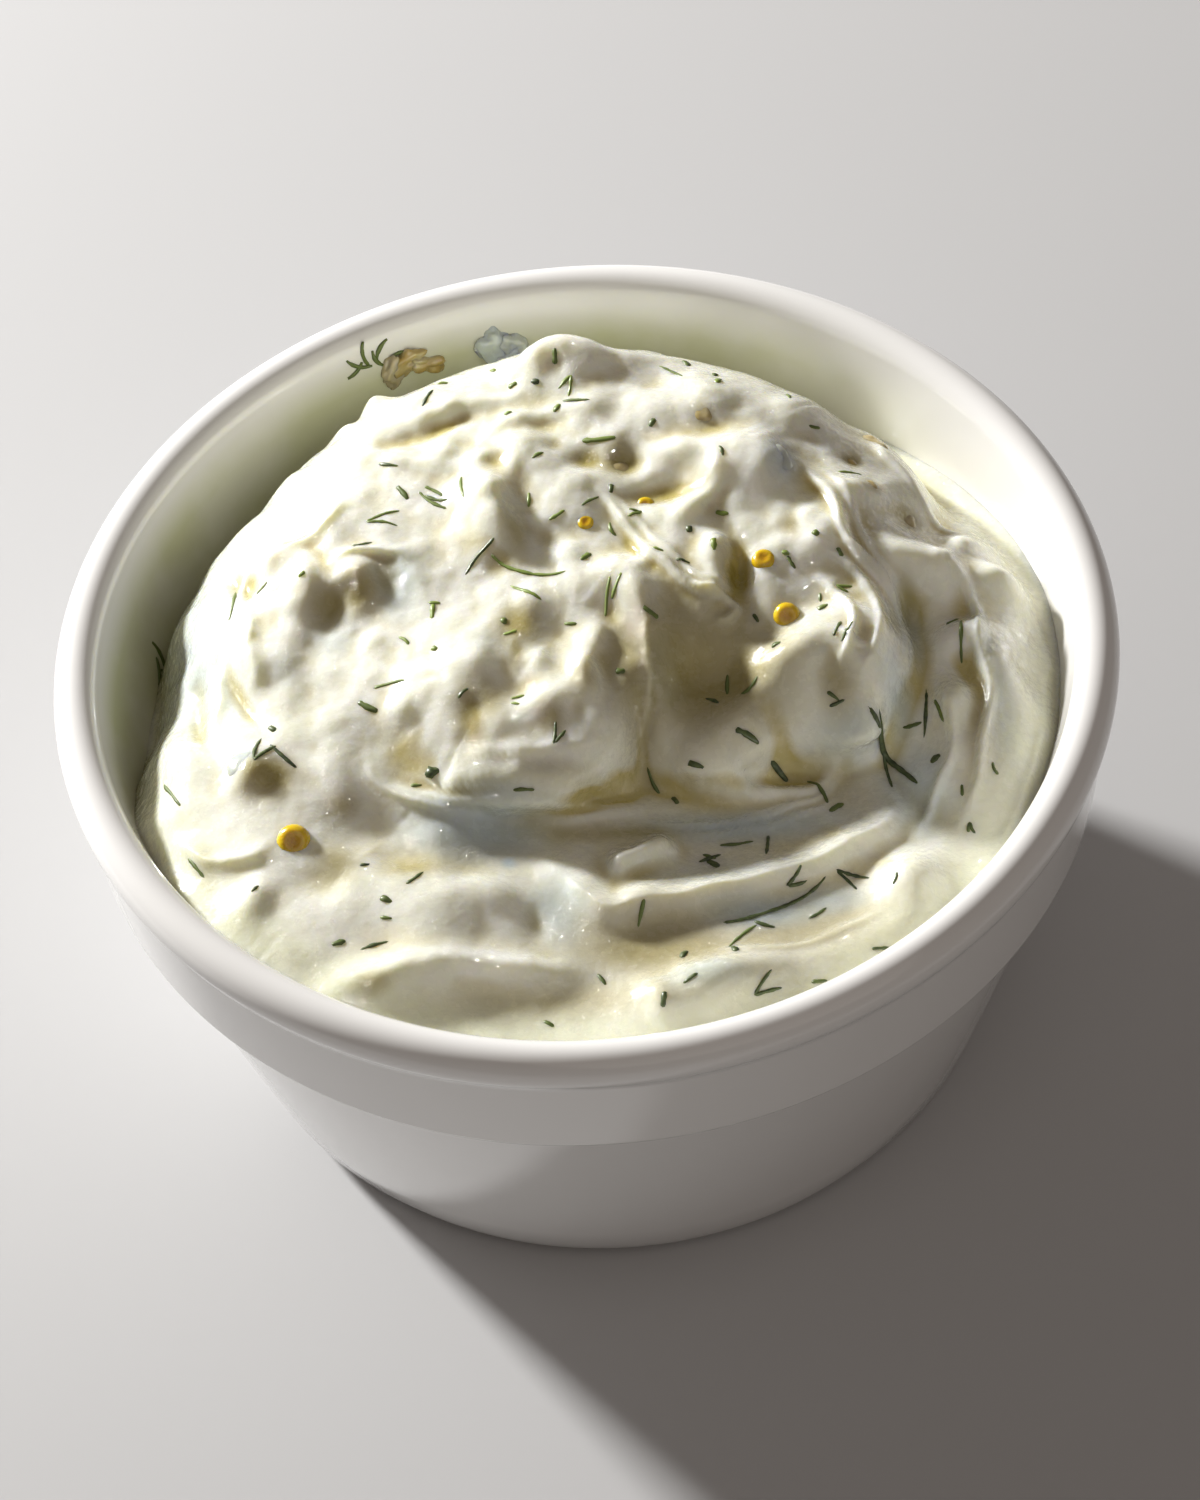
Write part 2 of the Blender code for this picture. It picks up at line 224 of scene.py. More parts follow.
# Thin glassy folds of half-clear cream: the line they follow, height, and width to each side.
FILMS = {
    "plateau edge": (((-21.5, 17), (-21, 14.5), (-23, 13), (-26, 12), (-27, 10.5)), 0.6, (0.7, 0.4)),
    "centre left rim": (((-22.5, 8.5), (-20, 9.5), (-16, 9), (-14.5, 7.5)), 0.6, (0.7, 0.4)),
    "diagonal": (((2, 13.5), (6, 7), (10, 1.5), (14, -1)), 0.9, (0.8, 0.35)),
    "diagonal, second": (((3.5, 13), (7.5, 6.8), (11, 2.5), (14.5, 0.2)), 0.4, (0.4, 0.3)),
    "diagonal curl": (((10, 1.5), (12.5, 0), (14, -1), (13, -2), (11.5, -1.5)), 0.6, (0.35, 0.35)),
    "long": (((21.5, 15), (24, 9.5), (25.5, 3.5), (28, 0)), 0.9, (0.8, 0.35)),
    "long, second": (((23.3, 15), (25.6, 9.8), (27, 4.5), (29.2, 1)), 0.4, (0.4, 0.3)),
    "outer": (((27, 23), (30, 17.5), (32.5, 12.5), (35.5, 10.5), (37.5, 9)), 0.6, (0.7, 0.4)),
    "shelf": (((33.5, 7), (35, 0.5), (35.5, -5), (35, -11.5), (33, -18), (30.5, -22)), 0.7, (0.6, 0.4)),
    "shelf, outer": (((39, 5), (41.2, 0), (41.2, -6), (39.3, -14), (36, -21), (32, -26)), 0.5,
                     (0.6, 0.4)),
    "shelf, inner": (((30.5, -6), (31.5, -10.5), (31, -15), (29, -19), (27, -22)), 0.5, (0.5, 0.35)),
    "onion, first": (((21.5, 4.5), (24.8, 2.2), (26.4, -2), (26, -6), (23.6, -9.5)), 0.8, (0.5, 0.35)),
    "onion, second": (((20.5, 2.5), (23, 0.8), (24.4, -2.4), (24, -5.6), (22.4, -8.2)), 0.6, (0.45, 0.3)),
    "onion, third": (((23, 5.5), (26.5, 3.4), (28.4, -1), (28.2, -5.5), (26.4, -9.5)), 0.5, (0.5, 0.35)),
    "onion, cross": (((22.8, -4.2), (24.2, -5.2), (25.8, -6.4)), 0.35, (0.35, 0.3)),
    "lip, middle": (((-17.5, -11.3), (-13, -14), (-7, -15.2), (-1, -15.1), (3, -13.8), (5, -11.5)), 0.5,
                    (0.6, 0.3)),
    "lip, upper": (((-14.5, -11.6), (-10.5, -13.3), (-5, -13.8), (0.5, -13), (4, -10.6)), 0.35,
                   (0.6, 0.3)),
    "lip, edge": (((-17, -13.3), (-12, -15.5), (-6, -16.4), (0, -16.4), (4, -15)), 0.4, (0.4, 0.3)),
    "ridge": (((4.2, -11.5), (5.4, -8), (5.2, -4.5), (5.6, -1)), 0.4, (0.35, 0.3)),
    "trough, upper": (((2, -17.4), (7, -17.9), (13, -17.6), (19, -15.6), (23.5, -13)), 0.35, (0.35, 0.3)),
    "trough, lower": (((5, -18.8), (11, -19), (17, -17.6), (22, -15.2)), 0.25, (0.3, 0.3)),
    "left bulge": (((-34, 5.5), (-32.5, 1), (-33.5, -4), (-33, -8)), 0.5, (0.6, 0.4)),
    "left shoulder": (((-29, 14.5), (-30.5, 9), (-29.5, 4), (-31, 0)), 0.4, (0.5, 0.35)),
    "left swell": (((-39, -15), (-35, -20), (-31, -20.5), (-29, -18)), 0.35, (0.9, 0.5)),
    "front, thin": (((7, -32.5), (13, -33.2), (19, -32), (25, -28.6)), 0.3, (0.6, 0.4)),
}
# Lips that hang over what lies in front of them: push outwards, reach, and the heights between
# which the push grows.
OVERHANGS = {
    "lip": (1.7, 2.6, 42.0, 46.0),
    "second lip": (1.2, 2.2, 41.2, 43.5),
    "bent swirl": (0.35, 0.9, 42.0, 43.5),
}

# Where the cream is tinted: place, half width and half depth, strength. Amber lies in the hollows, partly
# pickle showing through and partly painted shade under the lips, in the saddle and on shaded sides of
# lumps;
# the thin patches are thin cream letting the dark below show through and painted shade where the heap's
# shadow falls; watery patches are blue-grey whey with painted shade and painted sky light in them.
AMBER = {
    "centre left": (-19.5, 5.0, 2.2, 2.2, 0.9), "brown hollow": (-5.6, -1.0, 2.2, 2.3, 0.95),
    "narrow hollow": (-6.0, -3.5, 0.7, 2.2, 0.8), "point": (-5.0, 8.5, 1.3, 2.8, 0.7),
    "crown a": (-6.0, 17.5, 0.8, 1.0, 0.7), "crown b": (-0.5, 18.5, 0.8, 1.0, 0.5),
    "crown c": (2.3, 17.0, 1.3, 1.5, 0.9), "dark green hollow": (5.0, 16.5, 2.0, 2.2, 0.9),
    "brow": (8.5, 12.0, 4.5, 1.2, 0.5), "brow right": (13.0, 20.5, 1.1, 1.3, 0.6),
    "seed hollow": (14.2, 3.0, 1.3, 3.0, 1.0), "behind the seed": (19.5, 7.5, 1.0, 1.3, 0.7),
    "right a": (26.0, 16.5, 0.9, 1.1, 1.0), "right b": (27.5, 12.5, 1.0, 1.2, 0.8),
    "right c": (30.5, 10.5, 1.3, 1.6, 0.7), "right edge": (28.5, 21.5, 2.2, 1.4, 0.8),
    "centre left, outer": (-22.6, 4.6, 2.4, 2.0, 0.8), "centre left, inner": (-17.4, 5.8, 1.6, 1.8, 0.5),
    "saddle, left": (3.8, -5.5, 2.6, 5.0, 0.6), "cheek, side": (-9.0, -8.5, 1.8, 2.6, 0.7),
    "cheek": (-10.5, -10.0, 1.4, 3.3, 1.0), "cheek lower": (-3.5, -11.0, 1.4, 1.4, 0.8),
    "crumb": (-0.3, -8.0, 1.3, 1.5, 0.6), "front left": (-23.5, -22.0, 2.3, 2.8, 0.7),
    "big seed": (-29.0, -12.8, 2.7, 2.4, 1.0), "front rim left": (-35.0, -20.5, 1.1, 2.6, 0.5),
    "wedge": (-17.0, -22.8, 3.3, 1.5, 0.8), "knuckle foot": (22.0, -9.0, 1.8, 2.4, 0.7),
    "right hollow": (29.4, 1.2, 1.0, 1.8, 0.6), "under the lip": (1.5, -19.0, 7.5, 1.0, 0.6),
    "trough left": (-22.5, -16.0, 1.8, 1.3, 0.7), "front": (-6.0, -37.0, 13.0, 2.4, 0.5),
    "front left rim": (-21.0, -35.0, 1.8, 1.1, 0.8), "saddle": (10.5, -5.5, 8.0, 6.5, 0.75),
    "swirl crest": (8.0, -27.5, 14.0, 2.6, 0.15), "front middle": (3.0, -32.0, 6.0, 2.2, 0.5),
    "lip": (-5.0, -15.6, 12.0, 1.2, 0.35),
}
# Painted shade, partly thin cream: darker tan where the heap's shadow falls, beside the nose, under the
# lips and over the front.
THIN = {
    "front middle": (4.5, -31.5, 9.0, 4.4, 1.1), "front pool": (15.5, -30.5, 10.0, 4.5, 1.0),
    "front edge": (10.0, -37.0, 13.0, 2.6, 0.55), "saddle": (10.0, -6.0, 8.5, 6.5, 0.95),
    "under the lip": (6.0, -19.5, 15.0, 3.0, 0.5), "nose side": (4.5, -9.0, 2.6, 6.0, 0.9),
    "swirl inside": (9.0, -22.0, 6.0, 1.2, 0.4), "below the onion": (22.0, -15.0, 5.0, 4.0, 0.6),
    "shelf": (35.0, -12.0, 3.0, 8.0, 0.35), "trough left": (-11.0, -20.0, 6.5, 3.0, 0.75),
    "ridge foot": (-3.0, -30.5, 3.5, 2.4, 0.4),
}
# Blue-grey whey with painted shade and painted sky light: darker bluish patches in the troughs and on the
# left flank.
WATERY = {
    "trough": (12.0, -18.4, 10.0, 1.9, 1.0), "swirl": (13.0, -28.5, 5.4, 2.0, 0.9),
    "swirl right": (18.5, -27.5, 4.5, 1.8, 0.7), "trough left": (-11.0, -18.5, 6.5, 3.6, 0.95),
    "front": (-4.5, -27.0, 2.8, 4.0, 0.7), "right pool": (28.0, -16.5, 3.6, 5.3, 0.8),
    "saddle": (7.0, -6.0, 2.3, 3.6, 0.5), "face left": (-16.0, 5.5, 2.4, 3.8, 0.7),
    "left lump": (-31.0, -11.0, 1.6, 2.2, 0.8), "left bulge": (-22.5, 1.5, 2.8, 2.6, 0.5),
    "grey pickle": (19.5, 14.5, 1.8, 2.8, 0.8), "shelf": (35.5, -3.0, 1.1, 5.3, 0.6),
    "shelf right": (36.5, -10.0, 1.8, 7.5, 0.5), "front right": (7.0, -36.5, 4.5, 1.8, 0.7),
    "bulge a": (-31.5, 5.0, 1.8, 3.0, 0.4), "bulge b": (-27.0, -1.5, 2.0, 3.0, 0.35),
    "face": (-9.0, -2.5, 2.2, 2.2, 0.3), "brow": (-1.0, 6.0, 2.6, 1.8, 0.3),
    "swirl, inside": (9.0, -24.0, 9.0, 2.2, 0.45), "left flank": (-35.0, 6.0, 5.5, 15.0, 0.75),
    "left shoulder": (-24.5, 20.5, 6.0, 5.0, 0.45),
    "second trough": (22.5, -12.0, 4.5, 1.8, 0.6), "drop a": (-8.5, -22.0, 0.8, 0.8, 1.0),
    "drop b": (-5.5, -27.0, 0.8, 0.8, 0.7), "right seam": (29.2, -2.0, 1.7, 4.5, 0.8),
    "right seam, foot": (27.4, -9.0, 1.7, 4.0, 0.8),
}


# ------------------------------------------------------------------ small helpers

def somewhere(rng, reach):
    """A place picked evenly from a disc of that radius."""
    turn, distance = rng.uniform(0, math.tau), reach * math.sqrt(rng.random())
    return distance * math.cos(turn), distance * math.sin(turn)


def smooth(t):
    return t * t * (3 - 2 * t)


def clamp(t, low=0.0, high=1.0):
    return np.minimum(np.maximum(t, low), high)


def arc(centre, radius, start, end, steps):
    return [(centre[0] + radius * math.cos(start + (end - start) * i / steps),
             centre[1] + radius * math.sin(start + (end - start) * i / steps)) for i in range(steps + 1)]


def spline(points, parts=8):
    """A Catmull-Rom curve through a few points, as an array."""
    posts = np.array(points, float)
    posts = np.vstack([2 * posts[0] - posts[1], posts, 2 * posts[-1] - posts[-2]])
    curve = []
    for a, b, c, d in zip(posts, posts[1:], posts[2:], posts[3:]):
        for t in np.arange(parts) / parts:
            curve.append(0.5 * (2 * b + (c - a) * t + (2 * a - 5 * b + 4 * c - d) * t ** 2
                                + (3 * b - a - 3 * c + d) * t ** 3))
    return np.vstack(curve + [posts[-2]])


def finish_piece(bm, name, made_of, slot, *nodes):
    """Turns a bmesh drawn in millimetres into a piece of the object."""
    bmesh.ops.scale(bm, vec=(MM, MM, MM), verts=bm.verts)
    mesh = bpy.data.meshes.new(name)
    bm.to_mesh(mesh)
    bm.free()
    mesh.materials.append(made_of)
    mesh.shade_smooth()
    piece = bpy.data.objects.new(name, mesh)
    bpy.context.collection.objects.link(piece)
    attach(piece, "root")
    if nodes:
        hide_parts(*nodes)
    return piece


# ------------------------------------------------------------------ node helpers

def fill(tree, made, values):
    """Sets a node's inputs, by name or number: to a value, or to what another node puts out."""
    for key, value in values.items():
        socket = made.inputs[key]
        if isinstance(value, bpy.types.NodeSocket):
            tree.links.new(value, socket)
        else:
            socket.default_value = value


def node(tree, kind, settings=None, **inputs):
    made = tree.nodes.new(kind)
    for key, value in (settings or {}).items():
        setattr(made, key, value)
    fill(tree, made, {key.replace("_", " "): value for key, value in inputs.items()})
    return made


def new_material(name):
    made = bpy.data.materials.new(name)
    made.use_nodes = True
    return made, made.node_tree


def settle(made, **inputs):
    """Sets the sockets of a material's own shader."""
    tree = made.node_tree
    fill(tree, tree.nodes["Principled BSDF"],
         {key.replace("_", " "): value for key, value in inputs.items()})
    return made


def maths(tree, operation, *values):
    made = node(tree, "ShaderNodeMath", {"operation": operation})
    fill(tree, made, dict(enumerate(values)))
    return made.outputs[0]


def cloud(tree, scale, detail):
    """Soft noise fixed to the piece."""
    coords = node(tree, "ShaderNodeTexCoord").outputs["Object"]
    return node(tree, "ShaderNodeTexNoise", Vector=coords, Scale=scale, Detail=detail).outputs["Fac"]


def bumped(tree, height, strength, distance):
    return node(tree, "ShaderNodeBump", Strength=strength, Distance=distance,
                Height=height).outputs["Normal"]


def remap(tree, value, low, high, to_low=0.0, to_high=1.0):
    return node(tree, "ShaderNodeMapRange", Value=value, From_Min=low, From_Max=high,
                To_Min=to_low, To_Max=to_high).outputs["Result"]


def blend_colour(tree, factor, a, b):
    made = node(tree, "ShaderNodeMix", {"data_type": "RGBA"})
    first, second = ((*tone, 1) if isinstance(tone, tuple) else tone for tone in (a, b))
    fill(tree, made, {0: factor, 6: first, 7: second})
    return made.outputs[2]


def mark(tree, name):
    """A number kept on the points of a mesh."""
    return node(tree, "ShaderNodeAttribute", {"attribute_name": name}).outputs["Fac"]


def mottle_group():
    """Soft patches and fine grain, shared by the cream, the dill, the pickle and the seeds."""
    group = bpy.data.node_groups.new("food_mottle", "ShaderNodeTree")
    sizes, masks = ("Patch Size", "Grain Size"), ("Patches", "Grain")
    for names, way in ((sizes, "INPUT"), (masks, "OUTPUT")):
        for name in names:
            group.interface.new_socket(name=name, in_out=way, socket_type="NodeSocketFloat")
    ins = group.nodes.new("NodeGroupInput")
    outs = group.nodes.new("NodeGroupOutput")
    for size, mask, detail in zip(sizes, masks, (3.0, 4.0)):
        group.links.new(cloud(group, ins.outputs[size], detail), outs.inputs[mask])
    return group


MOTTLE = mottle_group()


def mottle(tree, patch, fine):
    """The two masks of the shared mottle: patches and grain."""
    made = node(tree, "ShaderNodeGroup", {"node_tree": MOTTLE}, Patch_Size=patch, Grain_Size=fine)
    return made.outputs["Patches"], made.outputs["Grain"]


# ------------------------------------------------------------------ bowl

def bead_centre():
    return DRAWN_RIM - BEAD_RADIUS, BOWL_HEIGHT - BEAD_RADIUS


def cavity_radius(height):
    centre_radius, centre_height = bead_centre()
    top_radius = centre_radius - BEAD_RADIUS * math.cos(WALL_TILT)
    top_height = centre_height + BEAD_RADIUS * math.sin(WALL_TILT)
    return top_radius - (top_height - height) * math.tan(WALL_TILT)


def bowl_profile():
    ring_in = FOOT_RADIUS - FOOT_EDGE - FOOT_RING
    base = [(0.0, FOOT_RECESS), (ring_in - 2.0, FOOT_RECESS)]
    base += arc((ring_in - 1.0, 0.9), 0.9, math.pi, 1.5 * math.pi, 4)[1:]
    foot = arc((FOOT_RADIUS - FOOT_EDGE, FOOT_EDGE), FOOT_EDGE, -math.pi / 2, -math.radians(15), 8)
    body = []
    body_top = BAND_FOOT_HEIGHT - BAND_FILLET
    for i in range(1, 11):
        t = i / 10
        radius = FOOT_RADIUS + (BODY_TOP_RADIUS - FOOT_RADIUS) * t + 4 * BODY_SWELL * t * (1 - t)
        body.append((radius, body_top * t))
    corner = arc((BODY_TOP_RADIUS + BAND_FILLET, body_top), BAND_FILLET, math.pi, math.pi / 2, 6)[1:]
    edge = arc((BAND_FOOT_RADIUS - BAND_EDGE, BAND_FOOT_HEIGHT + BAND_EDGE), BAND_EDGE,
               -math.pi / 2, 0.0, 8)
    centre_radius, centre_height = bead_centre()
    under_bead = -math.acos((BAND_TOP_RADIUS - centre_radius) / BEAD_RADIUS)
    groove = [(BAND_TOP_RADIUS - 0.02, BOWL_HEIGHT - 2 * BEAD_RADIUS - 0.1)]
    bead = arc((centre_radius, centre_height), BEAD_RADIUS, under_bead, math.pi - WALL_TILT, 28)
    floor_height = FLOOR_HEIGHT + FLOOR_FILLET
    floor_radius = cavity_radius(floor_height) - FLOOR_FILLET / math.cos(WALL_TILT)
    fillet = arc((floor_radius, floor_height), FLOOR_FILLET, -WALL_TILT, -math.pi / 2, 8)
    wall = [(cavity_radius(z), z) for z in (40, 35, 30, 25, 20)]
    return base + foot + body + corner + edge + groove + bead + wall + fillet + [(0.0, FLOOR_HEIGHT)]


def turned(profile, steps):
    bm = bmesh.new()
    line = [bm.verts.new((radius, 0.0, height)) for radius, height in profile]
    edges = [bm.edges.new(pair) for pair in zip(line, line[1:])]
    bmesh.ops.spin(bm, geom=line + edges, cent=(0, 0, 0), axis=(0, 0, 1),
                   angle=math.tau, steps=steps, use_merge=True)
    bmesh.ops.remove_doubles(bm, verts=bm.verts, dist=0.005)
    bmesh.ops.recalc_face_normals(bm, faces=bm.faces)
    return bm


def glaze():
    """White porcelain, with a thin smear of sauce on the inner wall behind the heap; its olive is partly
    painted shade and bounced sauce colour.
    """
    made, tree = new_material("porcelain_glaze")
    tone = blend_colour(tree, cloud(tree, 35.0, 3.0), (0.80, 0.79, 0.775), (0.87, 0.865, 0.85))
    coords = node(tree, "ShaderNodeTexCoord").outputs["Object"]
    place = node(tree, "ShaderNodeSeparateXYZ", Vector=coords).outputs
    across = maths(tree, "MULTIPLY_ADD", place["X"], -0.7, place["Y"])
    flat = node(tree, "ShaderNodeCombineXYZ", X=place["X"], Y=place["Y"]).outputs["Vector"]
    out = node(tree, "ShaderNodeVectorMath", {"operation": "LENGTH"}, Vector=flat).outputs["Value"]
    slant = maths(tree, "MULTIPLY_ADD", place["Z"], -math.tan(WALL_TILT), out)
    wall = cavity_radius(0.0)
    # Painted shade in part: the smear's olive darkens the back of the wall, fuller towards the sauce.
    smear = remap(tree, across, 0.0, SMEAR_BACK * MM)
    for mask in (remap(tree, place["Z"], SMEAR_TOP * MM, SMEAR_FULL * MM),
                 remap(tree, slant, (wall + 0.8) * MM, (wall + 0.4) * MM),
                 remap(tree, cloud(tree, 120.0, 4.0), 0.35, 0.6, 0.5, 0.9)):
        smear = maths(tree, "MULTIPLY", smear, mask)
    return settle(made, Base_Color=blend_colour(tree, smear, tone, (0.64, 0.66, 0.42)),
                  Normal=bumped(tree, cloud(tree, 90.0, 2.0), 0.06, 0.0006), Roughness=0.16, IOR=1.5,
                  Coat_Weight=0.6, Coat_Roughness=0.06)


def make_bowl():
    finish_piece(turned(bowl_profile(), BOWL_STEPS), "bowl_glazed", glaze(), "porcelain", "bowl")


# ------------------------------------------------------------------ the heap's height

def soft_max(a, b, blend):
    share = clamp(0.5 + 0.5 * (a - b) / blend)
    return b + (a - b) * share + blend * share * (1 - share)


def wall_level(x, y):
    """The sauce's height at the wall in the direction of each point."""
    turns = np.degrees(np.arctan2(y, x)) % 360 / 360 * len(WALL_LEVELS)
    first = np.floor(turns).astype(int) % len(WALL_LEVELS)
    share = smooth(turns - np.floor(turns))
    levels = np.array(WALL_LEVELS)
    return levels[first] * (1 - share) + levels[(first + 1) % len(levels)] * share


def from_centre(x, y, at, half, turn):
    """Distance from an oval's centre, counted in its own half widths."""
    angle = math.radians(turn)
    dx, dy = x - at[0], y - at[1]
    return np.hypot((dx * math.cos(angle) + dy * math.sin(angle)) / half[0],
                    (dy * math.cos(angle) - dx * math.sin(angle)) / half[1])


def lobe_height(x, y, at, half, turn, top, foot, dome, edge=EDGE_POWER, lean=(0.0, 0.0)):
    distance = clamp(from_centre(x, y, at, half, turn), 0, 1.5)
    top = top + lean[0] * (x - at[0]) + lean[1] * (y - at[1])
    return top - (top - foot) * (dome * distance ** 2 + (1 - dome) * distance ** edge)


def near(x, y, path, reach):
    corners = np.array(path)
    low, high = corners.min(axis=0) - reach, corners.max(axis=0) + reach
    return (x > low[0]) & (x < high[0]) & (y > low[1]) & (y < high[1])


def along_path(x, y, path):
    """Distance to a path, its side (left is positive), how far along, and the way to the right."""
    curve = spline(path)
    lengths = np.concatenate([[0], np.cumsum(np.hypot(*np.diff(curve, axis=0).T))])
    nearest = np.full(x.shape, np.inf)
    side, along, right_x, right_y = (np.zeros(x.shape) for _ in range(4))
    for i, (a, b) in enumerate(zip(curve, curve[1:])):
        ex, ey = b - a
        size = math.hypot(ex, ey)
        px, py = x - a[0], y - a[1]
        t = clamp((px * ex + py * ey) / size ** 2)
        distance = np.hypot(px - t * ex, py - t * ey)
        closer = distance < nearest
        nearest = np.where(closer, distance, nearest)
        side = np.where(closer, np.sign(ex * py - ey * px), side)
        along = np.where(closer, (lengths[i] + t * size) / lengths[-1], along)
        right_x = np.where(closer, ey / size, right_x)
        right_y = np.where(closer, -ex / size, right_y)
    return nearest, side, along, right_x, right_y


def end_taper(along, fade=0.28):
    return smooth(clamp(np.minimum(along, 1 - along) / fade))


def bump_at(x, y, px, py, wide, deep, turn, power=LUMP_POWER):
    """The points near an oval lump, and how much of its height each one has."""
    here = near(x, y, [(px, py)], 2.2 * max(wide, deep))
    distance = from_centre(x[here], y[here], (px, py), (wide, deep), turn)
    return here, np.exp(-distance ** power)


def strokes_height(x, y, strokes):
    """The height that a set of strokes adds: each tapers off to its sides and its ends."""
    height = np.zeros(x.shape)
    for path, size, widths in strokes.values():
        here = near(x, y, path, 3 * max(widths))
        nearest, side, along, _, _ = along_path(x[here], y[here], path)
        width = np.where(side > 0, widths[0], widths[1])
        height[here] += size * end_taper(along) * np.exp(-(nearest / width) ** 1.6)
    return height


def grain(x, y, size, seed):
    """Smooth noise between about -1 and 1, with patches of the given size."""
    return np.array([noise.noise((px / size + seed, py / size, seed)) for px, py in zip(x, y)])


def ruffle(x, y, layers):
    """Noise added up from layers: the height, the size of a patch, and the seed of each."""
    return sum(height * grain(x, y, size, seed) for height, size, seed in layers)


def wander(x, y):
    """Shifts places a little this way and that, so that no outline on the heap is a clean curve."""
    return (x + ruffle(x, y, ((0.7, 4.4, 11.5), (0.08, 1.4, 13.5))),
            y + ruffle(x, y, ((0.7, 4.4, 17.5), (0.08, 1.4, 19.5))))


def heap_height(x, y):
    x, y = wander(x, y)
    height = wall_level(x, y)
    for lobe in LOBES.values():
        height = soft_max(height, lobe_height(x, y, **lobe), BLEND)
    for group, way in ((LUMPS, 1), (HOLLOWS, -1)):
        for px, py, wide, deep, turn, size in group.values():
            here, share = bump_at(x, y, px, py, wide, deep, turn)
            height[here] += way * LUMP_GAIN * size * share
    return height + strokes_height(x, y, STROKES)


def wall_contact(angles):
    """Radius at which the heap meets the wall in each direction."""
    inner = np.full(angles.shape, 36.0)
    outer = np.full(angles.shape, 44.3)
    for _ in range(12):
        radius = (inner + outer) / 2
        room = cavity_radius(heap_height(radius * np.cos(angles), radius * np.sin(angles)))
        fits = radius < room + WALL_BITE
        inner = np.where(fits, radius, inner)
        outer = np.where(fits, outer, radius)
    return inner


def curds(x, y, z):
    """Small lumps of chopped pickle under the cream, thickly strewn on the heap, thinly in front."""
    rng = random.Random(SEED)
    raised = np.zeros(x.shape)
    for _ in range(CURD_COUNT):
        px, py = somewhere(rng, CURD_REACH)
        wide, deep = rng.uniform(0.8, 2.6), rng.uniform(0.8, 1.8)
        size = rng.uniform(0.12, 0.45) * rng.choice((1, 1, -0.6))
        here, share = bump_at(x, y, px, py, wide, deep, rng.uniform(0, 180))
        if here.any():
            thin = 0.2 if z[here].mean() < HEAP_FOOT else 1.0
            raised[here] += thin * size * share
    return raised


def lips(x, y):
    """For each lip that hangs over: the points near it, and how they lie to it."""
    for name, (push, reach, low, high) in OVERHANGS.items():
        path = STROKES[name][0]
        here = near(x, y, path, 3 * reach)
        nearest, side, along, right_x, right_y = along_path(x[here], y[here], path)
        fade = end_taper(along, 0.12) * np.exp(-(nearest / reach) ** 2)
        yield here, side * nearest, fade, right_x, right_y, push, low, high


def hang_over(x, y, z):
    """Pushes the lips outwards over what lies in front of them."""
    out_x, out_y = x.copy(), y.copy()
    for here, _, fade, right_x, right_y, push, low, high in lips(x, y):
        amount = push * fade * smooth(clamp((z[here] - low) / (high - low)))
        out_x[here] += right_x * amount
        out_y[here] += right_y * amount
    return out_x, out_y


def gather(x, y):
    """Draws the squares of the mesh together where a lip falls away, so that its face stays smooth."""
    for here, offset, fade, right_x, right_y, *_ in lips(x, y):
        amount = 0.55 * offset * fade
        x[here] += right_x * amount
        y[here] += right_y * amount
    return x, y


def tint(x, y, spots):
    field = np.zeros(x.shape)
    for px, py, wide, deep, amount in spots.values():
        here, share = bump_at(x, y, px, py, wide, deep, 0, 2.2)
        field[here] = np.maximum(field[here], amount * share)
    return field


def blurred(sheet, times):
    for _ in range(times):
        wide = np.pad(sheet, 1, mode="edge")
        sheet = (wide[:-2, 1:-1] + wide[2:, 1:-1] + wide[1:-1, :-2] + wide[1:-1, 2:] + 4 * sheet) / 8
    return sheet


def disc_grid():
    """A square grid folded onto a round disc of radius one, edge to edge."""
    bm = bmesh.new()
    bmesh.ops.create_grid(bm, x_segments=GRID, y_segments=GRID, size=1.0)
    flat = np.array([vert.co for vert in bm.verts])
    a, b = flat[:, 0], flat[:, 1]
    wide = np.abs(a) > np.abs(b)
    reach = np.where(wide, a, b)
    safe = np.where(np.abs(reach) < 1e-9, 1.0, reach)
    angle = np.where(wide, math.pi / 4 * b / safe, math.pi / 2 - math.pi / 4 * a / safe)
    return bm, np.abs(reach), np.arctan2(reach * np.sin(angle), reach * np.cos(angle))


